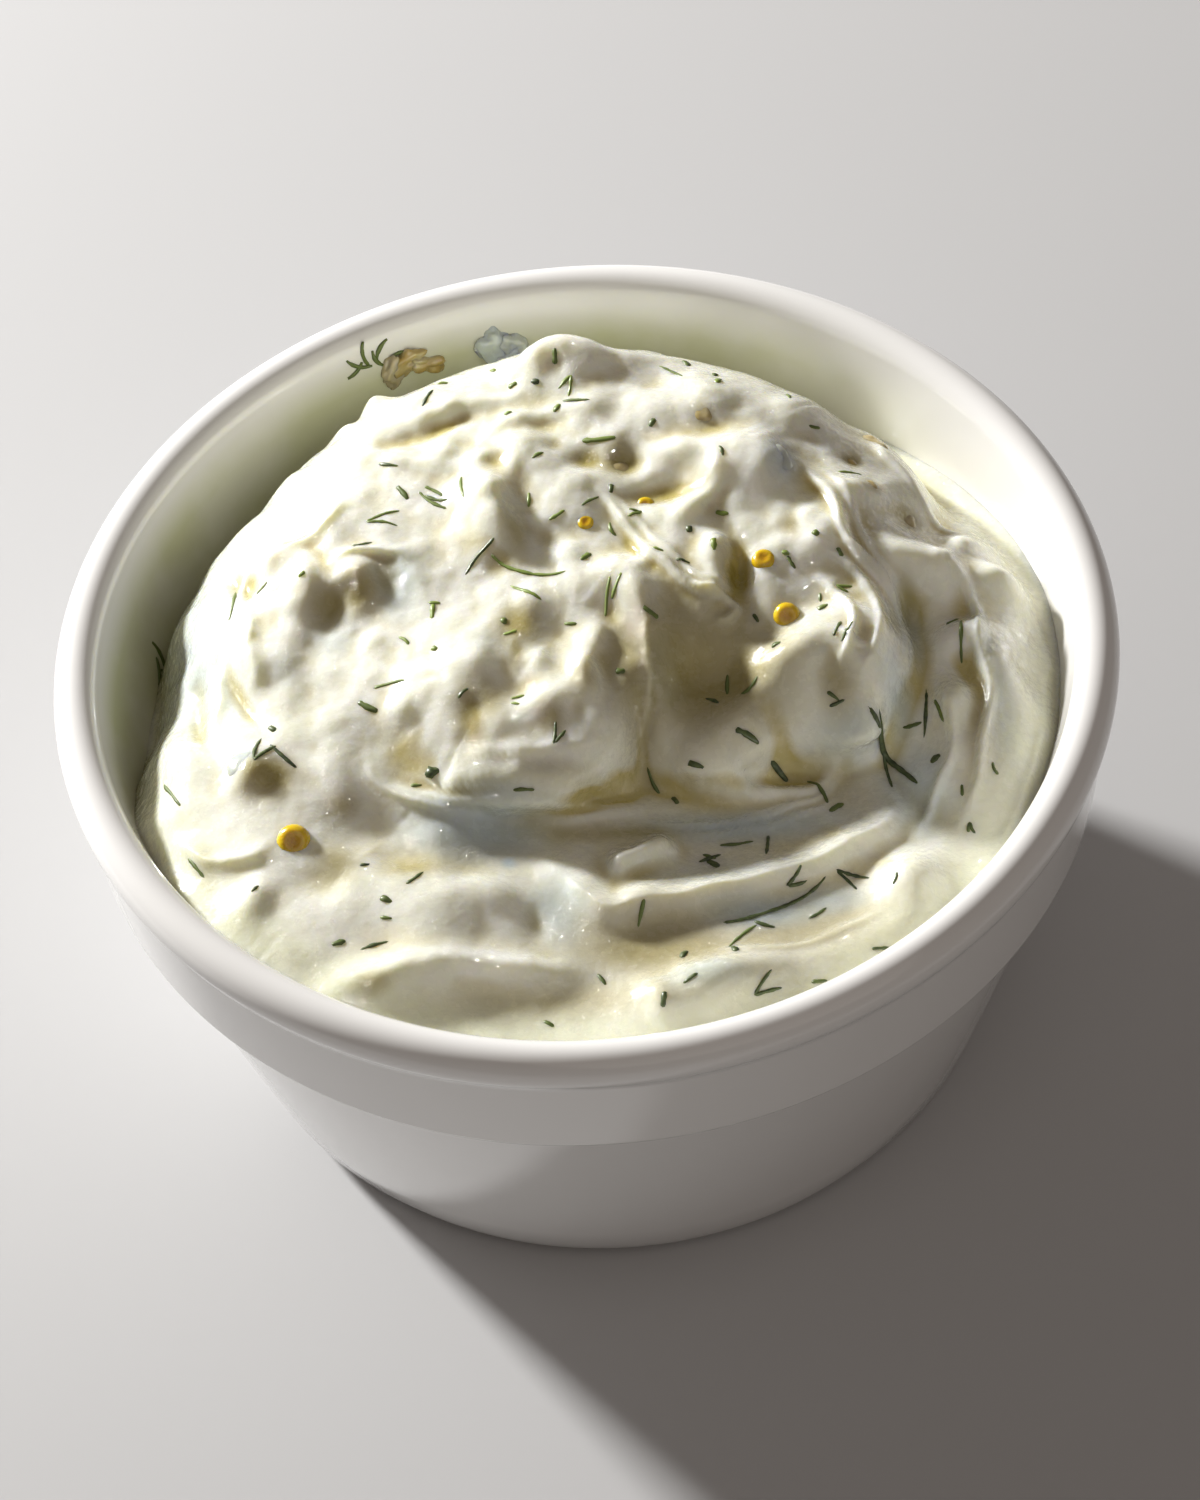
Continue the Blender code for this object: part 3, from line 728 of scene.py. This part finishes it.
def make_sauce(made_of):
    bm, share, angle = disc_grid()
    ring = np.linspace(-math.pi, math.pi, 721)
    radius = share * np.interp(angle, ring, wall_contact(ring))
    x, y = gather(radius * np.cos(angle), radius * np.sin(angle))
    z = heap_height(x, y)
    side = GRID + 1
    z = blurred(z.reshape(side, side), SOFTENING).ravel()
    rough = 0.25 + 0.75 * smooth(clamp((z - 44.5) / 3.5))
    inside = smooth(clamp((1 - share) / 0.05))
    z += inside * curds(x, y, z)
    z += inside * rough * ruffle(x, y, ((0.5, 7.0, 1.5), (0.28, 2.6, 4.5), (0.06, 1.1, 7.5)))
    films = strokes_height(*wander(x, y), FILMS)
    z += inside * films
    sheet = z.reshape(side, side)
    # Painted shade: the crease mark darkens the cream the deeper a crease or hollow lies, less so near
    # the wall.
    hollow = (blurred(sheet, 40) - sheet).ravel() + 0.5 * (blurred(sheet, 8) - sheet).ravel()
    hollow *= 1 - 0.75 * smooth(clamp((share - 0.84) / 0.12))
    x, y = hang_over(x, y, z)
    marks = {
        "hollow": clamp(hollow / 0.8, -1, 1),
        "amber": tint(x, y, AMBER),
        "watery": tint(x, y, WATERY),
        "thin": tint(x, y, THIN),
        "film": clamp(films / 0.5),
        # Yellow-green oil at the wall, partly painted shade along the rim.
        "oily": smooth(clamp((share - 0.84) / 0.14)),
    }
    for vert, place in zip(bm.verts, zip(x, y, z)):
        vert.co = place
    edge = [e for e in bm.edges if e.is_boundary]
    floor_height = FLOOR_HEIGHT + FLOOR_FILLET
    floor_radius = cavity_radius(floor_height) - FLOOR_FILLET / math.cos(WALL_TILT)
    levels = [(cavity_radius(28) - 0.3, 28.0), (cavity_radius(14) - 0.3, 14.0)]
    levels += arc((floor_radius, floor_height), FLOOR_FILLET - 0.3, -WALL_TILT, -math.pi / 2, 2)
    for radius, height in levels:
        made = bmesh.ops.extrude_edge_only(bm, edges=edge)["geom"]
        for vert in (g for g in made if isinstance(g, bmesh.types.BMVert)):
            turn = math.atan2(vert.co.y, vert.co.x)
            vert.co = (radius * math.cos(turn), radius * math.sin(turn), height)
        edge = [g for g in made if isinstance(g, bmesh.types.BMEdge) and g.is_boundary]
    made = bmesh.ops.extrude_edge_only(bm, edges=edge)["geom"]
    rim = [g for g in made if isinstance(g, bmesh.types.BMVert)]
    bmesh.ops.pointmerge(bm, verts=rim, merge_co=(0, 0, FLOOR_HEIGHT + 0.3))
    bmesh.ops.recalc_face_normals(bm, faces=bm.faces)
    tree = BVHTree.FromBMesh(bm)
    piece = finish_piece(bm, "sauce_heap", made_of, "sauce", "sauce")
    for name, values in marks.items():
        layer = piece.data.attributes.new(name, "FLOAT", "POINT")
        filled = np.zeros(len(piece.data.vertices), dtype=np.float32)
        filled[:len(values)] = values
        layer.data.foreach_set("value", filled)
    return tree


# The cream's tints, laid over each other: mask, where it starts and where it is full, strength, and
# colour. The crease tint is painted shade; the amber, thin, watery and oil tints are partly painted
# shade.
CREAM_TINTS = (
    ("hollow", 0.02, 0.45, 0.9, (0.58, 0.48, 0.13)),
    ("thin", 0.05, 1.0, 0.85, (0.43, 0.385, 0.235)),
    ("watery", 0.15, 1.0, 0.8, (0.50, 0.60, 0.64)),
    ("amber", 0.1, 0.9, 0.9, (0.36, 0.29, 0.05)),
    ("oily", 0.0, 1.0, 0.4, (0.68, 0.69, 0.42)),
    ("film", 0.2, 1.0, 0.3, (0.80, 0.79, 0.60)),
)


def cream():
    made, tree = new_material("cream_sauce")
    patches, fine = mottle(tree, 160.0, 900.0)
    colour = blend_colour(tree, remap(tree, patches, 0.35, 0.65), (0.90, 0.90, 0.81),
                          (0.855, 0.86, 0.73))
    for name, low, high, strength, tone in CREAM_TINTS:
        mask = remap(tree, mark(tree, name), low, high, 0.0, strength)
        colour = blend_colour(tree, mask, colour, tone)
    return settle(made, Base_Color=colour, Roughness=remap(tree, fine, 0.3, 0.7, 0.16, 0.34),
                  Normal=bumped(tree, fine, 0.2, 0.0004),
                  Coat_Normal=bumped(tree, cloud(tree, 1300.0, 3.0), 1.0, 0.0009),
                  Subsurface_Weight=0.8, Subsurface_Radius=(1.0, 0.9, 0.5), Subsurface_Scale=0.0016,
                  Coat_Weight=0.9, Coat_Roughness=0.06)


# ------------------------------------------------------------------ things lying on the sauce

def straight_down(surface, x, y):
    """Where a line dropped from above meets the sauce, and the way the surface faces there."""
    return surface.ray_cast(Vector((x, y, WELL_ABOVE)), Vector((0, 0, -1)))[:2]


def on_surface(surface, x, y, lift=0.0):
    """The point of the sauce under a place, and the way the surface faces there."""
    spot, facing = straight_down(surface, x, y)
    if spot is None:
        return Vector((x, y, 40.0)), Vector((0, 0, 1))
    return spot + facing * lift, facing


def on_wall(around, height):
    """A point of the bowl's inner wall, and the way the wall faces there."""
    out = Vector((math.cos(math.radians(around)), math.sin(math.radians(around)), 0))
    facing = Vector((0, 0, math.sin(WALL_TILT))) - out * math.cos(WALL_TILT)
    return out * cavity_radius(height) + Vector((0, 0, height)), facing


def rod(points, facings, widths, flat=0.6, sides=6):
    """A tapering rod along a line of points, a little flatter than wide, closed at both ends."""
    bm = bmesh.new()
    ring = bmesh.ops.create_circle(bm, cap_ends=False, segments=sides, radius=1.0)["verts"]
    circle = [vert.co.copy() for vert in ring]
    edges = list(bm.edges)
    start = edges
    for i, (point, facing, width) in enumerate(zip(points, facings, widths)):
        ahead = (points[min(i + 1, len(points) - 1)] - points[max(i - 1, 0)]).normalized()
        across = ahead.cross(facing).normalized()
        above = across.cross(ahead)
        if i:
            grown = bmesh.ops.extrude_edge_only(bm, edges=edges)["geom"]
            ring = [g for g in grown if isinstance(g, bmesh.types.BMVert)]
            edges = [g for g in grown if isinstance(g, bmesh.types.BMEdge)]
        for vert, corner in zip(ring, circle):
            vert.co = point + (across * corner.x + above * corner.y * flat) * width
    bmesh.ops.contextual_create(bm, geom=start)
    bmesh.ops.contextual_create(bm, geom=edges)
    bmesh.ops.recalc_face_normals(bm, faces=bm.faces)
    return bm


def add_part(whole, part, layer_name=None, value=0.0):
    """Joins a small mesh to a larger one, with one number written on all its points."""
    if layer_name:
        layer = part.verts.layers.float.new(layer_name)
        for vert in part.verts:
            vert[layer] = value
    mesh = bpy.data.meshes.new("part")
    part.to_mesh(mesh)
    part.free()
    whole.from_mesh(mesh)
    bpy.data.meshes.remove(mesh)


def stand(part, point, up, turn=0.0):
    """Stands a part at a point with its top facing up, after a turn round its own axis."""
    upright = up.to_track_quat("Z", "Y").to_matrix().to_4x4()
    spin = Matrix.Rotation(math.radians(turn), 4, "Z")
    bmesh.ops.transform(part, verts=part.verts, matrix=Matrix.Translation(point) @ upright @ spin)


# Dill laid one by one: kind, where its foot is, heading in degrees, length, and bend in degrees.
DILL = (
    # left of the crown
    ("vee", -18.5, 12.5, 10, 3.6, -20), ("needle", -13.5, 15.5, -60, 3.9, 25),
    ("needle", -13.0, 16.0, -20, 2.4, -40), ("needle", -13.0, 15.0, -50, 2.6, 36),
    ("fleck", -15.5, 16.5, -50, 2.2, 0), ("needle", -17.0, 19.5, -40, 2.3, 21),
    ("needle", -9.5, 16.0, -100, 3.3, 22), ("needle", -20.0, 10.0, -5, 2.1, 10),
    ("fleck", -25.0, 7.0, 15, 0.9, 0), ("needle", -31.0, 10.5, -95, 4.4, -10),
    # the brow and the face under it
    ("needle", -7.0, 8.0, -155, 4.3, 35), ("needle", -7.5, 7.0, -50, 7.8, 50),
    ("needle", -6.0, 3.5, -35, 3.8, -9), ("needle", -3.5, 13.5, -96, 1.9, 0),
    ("needle", -2.0, 10.0, 31, 1.8, 0), ("needle", 1.0, 11.0, 30, 2.1, 0),
    ("needle", 3.5, 9.5, -110, 1.8, 70), ("fleck", 1.5, 6.0, -124, 1.6, 0),
    ("needle", 3.0, 2.5, -107, 3.5, 8), ("needle", 4.0, 2.5, -118, 2.4, 0),
    ("fleck", -13.0, 3.0, -89, 2.0, 0), ("needle", -13.5, 3.0, -10, 1.3, 0),
    ("fleck", -7.0, 0.0, -65, 1.0, 0), ("needle", -1.5, -1.0, -18, 1.2, 0),
    ("fleck", -13.5, -2.0, -54, 0.8, 0), ("fleck", 5.5, -1.0, -42, 1.8, 0),
    ("fleck", 2.5, -6.5, 6, 1.0, 0), ("needle", -19.0, -5.0, 15, 3.2, -37),
    ("fleck", -20.5, -6.0, -43, 2.3, 0), ("needle", -7.0, -8.5, 6, 1.4, 0),
    ("needle", -7.0, -9.0, -27, 1.0, 0), ("vee", -3.5, -13.5, 65, 2.2, 0),
    ("needle", -16.5, -14.5, -14, 1.1, 20),
    # the crown and the right side
    ("fleck", 1.5, 19.0, -14, 3.6, 0), ("fleck", -4.5, 26.5, 11, 1.0, 0),
    ("needle", -3.0, 16.5, 28, 1.5, 0), ("fleck", 8.0, 19.5, 48, 1.1, 0),
    ("needle", 7.0, 5.5, -26, 1.2, 0), ("needle", 9.0, 4.0, -13, 1.3, 0),
    ("fleck", 12.5, 6.0, -89, 1.6, 0), ("fleck", 13.0, 9.5, -25, 1.4, 0),
    ("fleck", 10.5, 8.0, -82, 0.8, 0), ("fleck", 18.5, 4.5, -29, 0.9, 0),
    ("needle", 19.0, 4.0, -62, 1.4, 0), ("vee", 23.0, 1.0, -20, 1.6, 0),
    ("fleck", 21.0, -1.5, 18, 1.3, 0), ("needle", 21.5, 0.5, -96, 1.0, 0),
    ("needle", 23.0, -3.5, -118, 2.0, 0), ("needle", 24.0, -4.0, -124, 2.4, 0),
    ("fleck", 16.5, -5.0, 4, 1.1, 0), ("needle", 12.5, -5.5, -95, 2.2, 0),
    ("needle", 13.5, -8.0, -5, 2.0, 61), ("needle", 21.0, -9.5, -39, 1.4, 0),
    ("needle", 21.0, -10.5, 10, 1.6, 0), ("needle", 32.5, -1.5, 31, 1.6, 0),
    ("needle", 34.0, -1.0, -102, 4.3, 8), ("needle", 24.5, 14.0, 5, 2.4, 0),
    ("fleck", 21.5, 6.0, -59, 0.9, 0), ("fleck", 23.5, 4.5, -58, 1.2, 0),
    ("speck", -15.2, -13.6, -15, 1.5, 0),
    # round the seed and down the left side
    ("vee", -30.0, -11.5, 75, 3.4, -30), ("needle", -28.5, -9.5, -55, 3.6, 10),
    ("needle", -38.5, -9.5, -75, 4.4, 12), ("needle", -36.5, -19.0, -60, 3.0, 0),
    # the troughs under the lips
    ("needle", -7.5, -17.0, 0, 2.0, 0), ("fleck", 12.5, -11.5, -13, 2.3, 0),
    ("fleck", 15.5, -12.5, -24, 1.7, 0), ("needle", 18.5, -13.5, -35, 3.7, -50),
    ("fleck", 20.0, -17.5, 28, 2.0, 0), ("needle", 10.0, -20.5, 6, 3.3, 5),
    ("needle", 14.5, -19.5, -100, 2.6, 0), ("needle", 8.0, -22.5, 23, 2.4, 0),
    ("needle", 8.5, -21.5, -25, 1.4, 0), ("needle", 3.0, -27.5, -115, 2.4, 8),
    ("needle", 4.5, -12.5, -73, 2.2, 15), ("fleck", 8.0, -13.5, -13, 1.7, 0),
    ("vee", 20.0, -24.5, -28, 3.2, -15), ("vee", 15.5, -26.0, 15, 2.4, 30),
    ("frond", 9.5, -29.5, 0, 11.0, 48), ("needle", 12.5, -30.0, -150, 4.1, 30),
    ("needle", 30.0, -7.5, -91, 4.8, -16), ("needle", 30.5, -9.0, -78, 2.6, 0),
    ("needle", 27.5, -10.5, -10, 1.9, 10), ("thick", 24.5, -11.0, -48, 6.4, -10),
    ("needle", 25.5, -10.5, -89, 5.2, 8), ("needle", 35.0, -15.5, -110, 1.4, 70),
    ("needle", 32.0, -17.0, -97, 1.2, 0), ("fleck", 29.5, -14.5, 33, 1.2, 0),
    # along the front rim
    ("needle", -17.5, -25.0, 38, 2.2, 10), ("needle", -22.0, -31.0, 22, 2.8, -18),
    ("needle", -20.0, -28.0, -17, 1.2, 0), ("vee", 11.5, -38.5, 36, 3.2, 0),
    ("fleck", 3.5, -39.5, 64, 1.6, 0), ("needle", 5.5, -37.5, 26, 1.6, 0),
    ("needle", 16.5, -37.0, 6, 1.5, 0), ("needle", 22.0, -34.0, 5, 1.8, 0),
)
# Strands on the wall: turn round the bowl in degrees, height, heading, and length.
WALL_LEAVES = (
    (113.8, 42.6, 60, 2.6), (112.6, 42.8, 100, 2.2), (113.4, 42.4, 5, 2.8), (114.6, 43.2, -60, 2.0),
    (110.8, 42.4, 150, 1.8), (161.6, 36.4, -110, 4.4), (162.4, 35.0, -75, 2.6), (162.8, 33.6, -120, 2.2),
    (112.0, 42.0, 40, 2.0), (110.0, 41.6, 120, 1.6), (94.4, 39.2, 20, 1.5), (93.4, 38.0, -70, 1.4),
    (0.4, 35.9, -60, 1.0),
)
LEAF_WIDTH = 0.17
FLECK_WIDTH = 0.27
SPECK_WIDTH = 0.52
STRAND_STEP = 0.45
LOOSE_SPRIGS = 48
LOOSE_REACH = 40.5
WALL_RADIUS = 43.0              # of the bowl's inside, where strands cling to it
# No strand is laid where the sauce is steeper than this; the limit is stricter past the back edge.
FRONT_STEEPEST = 0.2
BACK_STEEPEST = 0.62
BACK_EDGE = 18


def leaflet(surface, at, heading, length, bend, width, rng, flat=0.5):
    """One strand that follows the sauce and sinks a little at its ends, or None off the sauce."""
    steps = max(4, int(length / STRAND_STEP) + 2)
    x, y = at
    turn = math.radians(heading)
    sway = rng.uniform(-0.45, 0.45)
    points, facings, widths = [], [], []
    for i in range(steps + 1):
        t = i / steps
        if straight_down(surface, x, y)[0] is None:
            return None
        lift = width * (0.60 * math.sin(math.pi * t) ** 0.5 - 0.46 + 0.12 * math.sin(9 * t + heading))
        point, facing = on_surface(surface, x, y, lift)
        points.append(point)
        facings.append(facing)
        widths.append(width * (0.35 + 0.75 * math.sin(math.pi * min(0.16 + 0.8 * t, 1.0)) ** 0.7)
                      * rng.uniform(0.75, 1.25))
        turn += (math.radians(bend) + sway * math.cos(7 * t)) / steps
        x += length / steps * math.cos(turn)
        y += length / steps * math.sin(turn)
    steepest = BACK_STEEPEST if at[1] > BACK_EDGE else FRONT_STEEPEST
    if min(facing.z for facing in facings) < steepest:
        return None
    return rod(points, facings, widths, flat)


def wall_leaf(around, height, heading, length, rng):
    """One strand clinging to the wall of the bowl; a heading of 90 degrees points up."""
    points, facings, widths = [], [], []
    for i in range(9):
        t = i / 8
        turn = math.radians(heading + 30 * t)
        point, facing = on_wall(around + math.degrees(length * t * math.cos(turn) / WALL_RADIUS),
                                height + length * t * math.sin(turn))
        points.append(point + facing * 0.05)
        facings.append(facing)
        widths.append(LEAF_WIDTH * (0.5 + 0.9 * math.sin(math.pi * (0.1 + 0.8 * t)))
                      * rng.uniform(0.8, 1.2))
    return rod(points, facings, widths, 0.5)


def lay_dill(surface, kind, at, heading, length, bend, rng):
    """The strands of one sprig."""
    def strand(foot=at, spread=0, share=1.0, bow=bend, width=LEAF_WIDTH, flat=0.5):
        return leaflet(surface, foot, heading + spread, length * share, bow, width, rng, flat)

    if kind == "fleck":
        return [strand(bow=rng.uniform(-20, 20), width=FLECK_WIDTH, flat=0.35)]
    if kind == "speck":
        return [strand(bow=30, width=SPECK_WIDTH, flat=0.45)]
    if kind == "thick":
        return [strand(width=1.7 * LEAF_WIDTH)]
    if kind == "vee":
        return [strand(spread=17), strand(spread=-17, share=0.85)]
    if kind == "frond":
        angle = math.radians(heading)
        strands = [strand(width=1.15 * LEAF_WIDTH)]
        for along, spread in ((0.25 * length, -35), (0.68 * length, 25)):
            foot = (at[0] + along * math.cos(angle), at[1] + along * math.sin(angle))
            strands.append(strand(foot, spread, 0.2, 20))
        return strands
    return [strand()]


def more_dill(surface, rng):
    """The sprigs listed, and loose ones strewn between them, most of them at the back."""
    sprigs = list(DILL)
    while len(sprigs) < len(DILL) + LOOSE_SPRIGS:
        x, y = somewhere(rng, LOOSE_REACH)
        in_front = y < 22 and rng.random() < 0.9
        if in_front or on_surface(surface, x, y)[1].z < 0.8:
            continue
        if min(math.hypot(x - other[1], y - other[2]) for other in sprigs) < 1.8:
            continue
        kind = rng.choice(("fleck", "fleck", "needle", "needle", "vee"))
        length = rng.uniform(0.9, 1.6) if kind == "fleck" or y < 20 else rng.uniform(1.2, 3.4)
        sprigs.append((kind, x, y, rng.uniform(0, 360), length, rng.uniform(-50, 50)))
    return sprigs


def make_dill(surface):
    rng = random.Random(SEED + 1)
    bm = bmesh.new()
    bm.verts.layers.float.new("tone")
    for kind, x, y, heading, length, bend in more_dill(surface, rng):
        tone = 0.05 if kind in ("speck", "thick") else rng.uniform(0, 1)
        # Painted shade: dill is darker in front and to the front right, where the heap's shade falls.
        if (x > 6 and y < 0) or y < -14:
            tone *= 0.45
        for strand in lay_dill(surface, kind, (x, y), heading, length, bend, rng):
            if strand:
                add_part(bm, strand, "tone", tone)
    for around, height, heading, length in WALL_LEAVES:
        add_part(bm, wall_leaf(around, height, heading, length, rng), "tone", 0.35)
    finish_piece(bm, "dill_leaves", dill_green(), "dill")


def dill_green():
    made, tree = new_material("dill_green")
    _, fine = mottle(tree, 260.0, 2200.0)
    colour = blend_colour(tree, mark(tree, "tone"), (0.018, 0.034, 0.010), (0.240, 0.330, 0.050))
    colour = blend_colour(tree, remap(tree, fine, 0.35, 0.7, 0.0, 0.35), colour, (0.20, 0.26, 0.07))
    return settle(made, Base_Color=colour, Roughness=remap(tree, fine, 0.3, 0.7, 0.35, 0.6),
                  Normal=bumped(tree, fine, 0.4, 0.0001), Coat_Weight=0.25, Coat_Roughness=0.15)


# Mustard seeds: place, radius, how far they stand out (share of the radius), tilt in degrees.
SEEDS = (
    (-27.0, -19.2, 1.60, -0.34, 36),
    (18.3, -1.5, 1.30, -0.28, 38),
    (16.8, 4.0, 1.15, -0.45, 10),
    (1.3, 9.5, 0.90, -0.55, 15),
    (6.9, 11.7, 0.95, -0.55, 20),
)


def mustard_seed(radius):
    """A seed turned from a profile: round, a little flat, with a shallow dimple on top."""
    profile = [(0.0, -0.78), (0.55, -0.66), (0.88, -0.36), (1.0, 0.0), (0.93, 0.34), (0.76, 0.56),
               (0.56, 0.66), (0.34, 0.62), (0.16, 0.58), (0.0, 0.57)]
    bm = turned([(radius * r, radius * h) for r, h in profile], 24)
    for vert in bm.verts:
        vert.co *= 1 + 0.035 * noise.noise(vert.co * 1.7 / radius)
    return bm


def make_seeds(surface):
    bm = bmesh.new()
    bm.verts.layers.float.new("heart")
    for x, y, radius, proud, tilt in SEEDS:
        seed = mustard_seed(radius)
        layer = seed.verts.layers.float.new("heart")
        for vert in seed.verts:
            vert[layer] = 1 - min(1.0, math.hypot(vert.co.x, vert.co.y) / radius / 0.72)
        point, facing = on_surface(surface, x, y)
        angle = math.radians(tilt)
        stand(seed, point + facing * radius * proud, Vector((0, -math.sin(angle), math.cos(angle))))
        add_part(bm, seed)
    finish_piece(bm, "mustard_seeds", mustard_gold(), "seed")


def mustard_gold():
    made, tree = new_material("mustard_gold")
    patches, fine = mottle(tree, 700.0, 3000.0)
    colour = blend_colour(tree, remap(tree, patches, 0.35, 0.65), (0.82, 0.58, 0.015),
                          (0.72, 0.47, 0.010))
    heart = remap(tree, mark(tree, "heart"), 0.0, 0.8, 0.0, 0.8)
    return settle(made, Base_Color=blend_colour(tree, heart, colour, (0.56, 0.27, 0.006)),
                  Roughness=remap(tree, fine, 0.3, 0.7, 0.15, 0.35),
                  Normal=bumped(tree, fine, 0.5, 0.0001),
                  Subsurface_Weight=0.4, Subsurface_Radius=(1.0, 0.6, 0.1), Subsurface_Scale=0.0008,
                  Coat_Weight=0.8, Coat_Roughness=0.05)


# Chopped pickle and onion showing through the cream: place, half sizes, sunk depth, turn, and
# colour from olive (0) through pale green to blue-grey onion (1).
PICKLES = (
    (5.0, 16.0, 1.8, 1.6, 1.2, 0.9, -20, 0.05),
    (-28.0, -13.0, 2.1, 1.8, 1.4, 1.2, -15, 0.05), (-31.5, -10.8, 1.5, 1.5, 1.3, 0.9, 30, 0.9),
    (19.3, 14.5, 1.9, 2.0, 1.3, 1.3, 20, 0.9),
    (26.0, 16.5, 0.8, 0.8, 0.7, 0.4, 0, 0.0), (27.5, 12.5, 0.8, 0.9, 0.7, 0.45, 0, 0.1),
    (30.5, 10.5, 1.0, 1.2, 0.8, 0.5, 0, 0.2), (28.5, 21.0, 1.6, 1.1, 0.9, 0.5, -25, 0.15),
    (-6.0, 17.5, 0.7, 0.8, 0.6, 0.4, 0, 0.0), (-0.5, 18.5, 0.7, 0.9, 0.6, 0.4, 0, 0.1),
    (2.2, 17.0, 0.9, 1.0, 0.8, 0.5, 0, 0.0), (13.0, 20.5, 0.9, 1.0, 0.7, 0.4, 0, 0.1),
)
# The same clinging to the wall: turn round the bowl, height, half sizes, turn, and colour.
WALL_PICKLES = (
    (108.9, 41.4, 1.7, 1.2, 1.0, 15, 0.0), (106.5, 40.6, 1.6, 0.9, 0.9, -20, 0.0),
    (111.0, 41.0, 1.6, 1.0, 0.8, 60, 0.3), (97.4, 40.6, 1.5, 1.6, 1.0, 40, 1.0),
    (95.0, 40.4, 1.5, 0.9, 0.9, -30, 0.9), (96.0, 38.8, 1.4, 1.3, 1.0, 10, 1.0),
)


BIT_CORNERS = 3.4               # 2 is an egg, higher is nearer to a box


def pickle_bit(half, rng, rugged=0.10):
    """A soft-cornered chopped bit, of the half sizes given."""
    bm = bmesh.new()
    bmesh.ops.create_icosphere(bm, subdivisions=4, radius=1.0)
    shift = Vector((rng.uniform(-9, 9), rng.uniform(-9, 9), rng.uniform(-9, 9)))
    for vert in bm.verts:
        co = vert.co
        square = sum(abs(part) ** BIT_CORNERS for part in co) ** (-1 / BIT_CORNERS)
        uneven = 1 + rugged * noise.noise(co * 1.3 + shift) + 0.4 * rugged * noise.noise(co * 3.1 + shift)
        vert.co = Vector((co.x * half[0], co.y * half[1], co.z * half[2])) * square * uneven
    return bm


def make_pickles(surface):
    rng = random.Random(SEED + 2)
    bm = bmesh.new()
    bm.verts.layers.float.new("tone")
    for x, y, wide, deep, thick, sunk, turn, tone in PICKLES:
        bit = pickle_bit((wide, deep, thick), rng)
        point, facing = on_surface(surface, x, y)
        up = (facing + Vector((0, 0, 1))).normalized()
        stand(bit, point - facing * (sunk + 0.25), up, turn)
        add_part(bm, bit, "tone", tone)
    for around, height, wide, deep, thick, turn, tone in WALL_PICKLES:
        bit = pickle_bit((wide, deep, thick), rng, 0.45)
        point, facing = on_wall(around, height)
        stand(bit, point - facing * 0.1, facing, turn)
        add_part(bm, bit, "tone", tone)
    finish_piece(bm, "pickle_bits", pickle_flesh(), "sauce")


def pickle_flesh():
    made, tree = new_material("pickle_flesh")
    patches, fine = mottle(tree, 420.0, 1500.0)
    colour = blend_colour(tree, mark(tree, "tone"), (0.46, 0.33, 0.09), (0.58, 0.65, 0.64))
    pale = remap(tree, patches, 0.45, 0.7, 0.0, 0.35)
    return settle(made, Base_Color=blend_colour(tree, pale, colour, (0.70, 0.68, 0.48)),
                  Roughness=remap(tree, fine, 0.3, 0.7, 0.1, 0.3),
                  Normal=bumped(tree, patches, 0.4, 0.0002),
                  Subsurface_Weight=0.6, Subsurface_Radius=(0.9, 0.8, 0.3), Subsurface_Scale=0.001,
                  Coat_Weight=0.9, Coat_Roughness=0.05)


# ------------------------------------------------------------------ stage, light and camera

def make_stage():
    bm = bmesh.new()
    bmesh.ops.create_grid(bm, x_segments=1, y_segments=1, size=1.5)
    mesh = bpy.data.meshes.new("floor")
    bm.to_mesh(mesh)
    bm.free()
    made, _ = new_material("pale_floor")
    mesh.materials.append(settle(made, Base_Color=(0.50, 0.50, 0.505, 1), Roughness=0.6))
    floor = bpy.data.objects.new("floor", mesh)
    bpy.context.collection.objects.link(floor)


def add_light(name, towards, distance, size, power, colour):
    data = bpy.data.lights.new(name, "AREA")
    data.size = size
    data.energy = power
    data.color = colour
    lamp = bpy.data.objects.new(name, data)
    direction = Vector(towards).normalized()
    lamp.location = direction * distance + Vector((0, 0, 0.04))
    lamp.rotation_euler = direction.to_track_quat("Z", "Y").to_euler()
    bpy.context.collection.objects.link(lamp)


def make_lights():
    add_light("key", (-0.66, 0.65, 0.38), 0.9, 0.09, 17.8, (1.0, 0.99, 0.97))
    add_light("fill", (0.4, -0.9, 1.3), 1.2, 1.2, 1.9, (1.0, 0.90, 0.82))
    world = bpy.data.worlds.new("studio")
    bpy.context.scene.world = world
    world.use_nodes = True
    tree = world.node_tree
    fill(tree, tree.nodes["Background"], {"Color": (1.0, 0.88, 0.80, 1), "Strength": 0.14})
    view = bpy.context.scene.view_settings
    view.view_transform = "Standard"
    view.look = "None"
    view.exposure = 0.0


def make_camera():
    data = bpy.data.cameras.new("camera")
    data.lens = 132.0
    data.sensor_width = 36.0
    data.clip_start = 0.01
    eye = Vector((0.0, -323.6, 418.7)) * MM
    target = Vector((0.5, 0.0, 30.1)) * MM
    camera = bpy.data.objects.new("camera", data)
    camera.location = eye
    turn = (target - eye).to_track_quat("-Z", "Y") @ Quaternion((0, 0, 1), math.radians(-5.84))
    camera.rotation_euler = turn.to_euler()
    bpy.context.collection.objects.link(camera)
    bpy.context.scene.camera = camera


make_stage()
make_lights()
make_camera()
make_bowl()
surface = make_sauce(cream())
make_dill(surface)
make_seeds(surface)
make_pickles(surface)
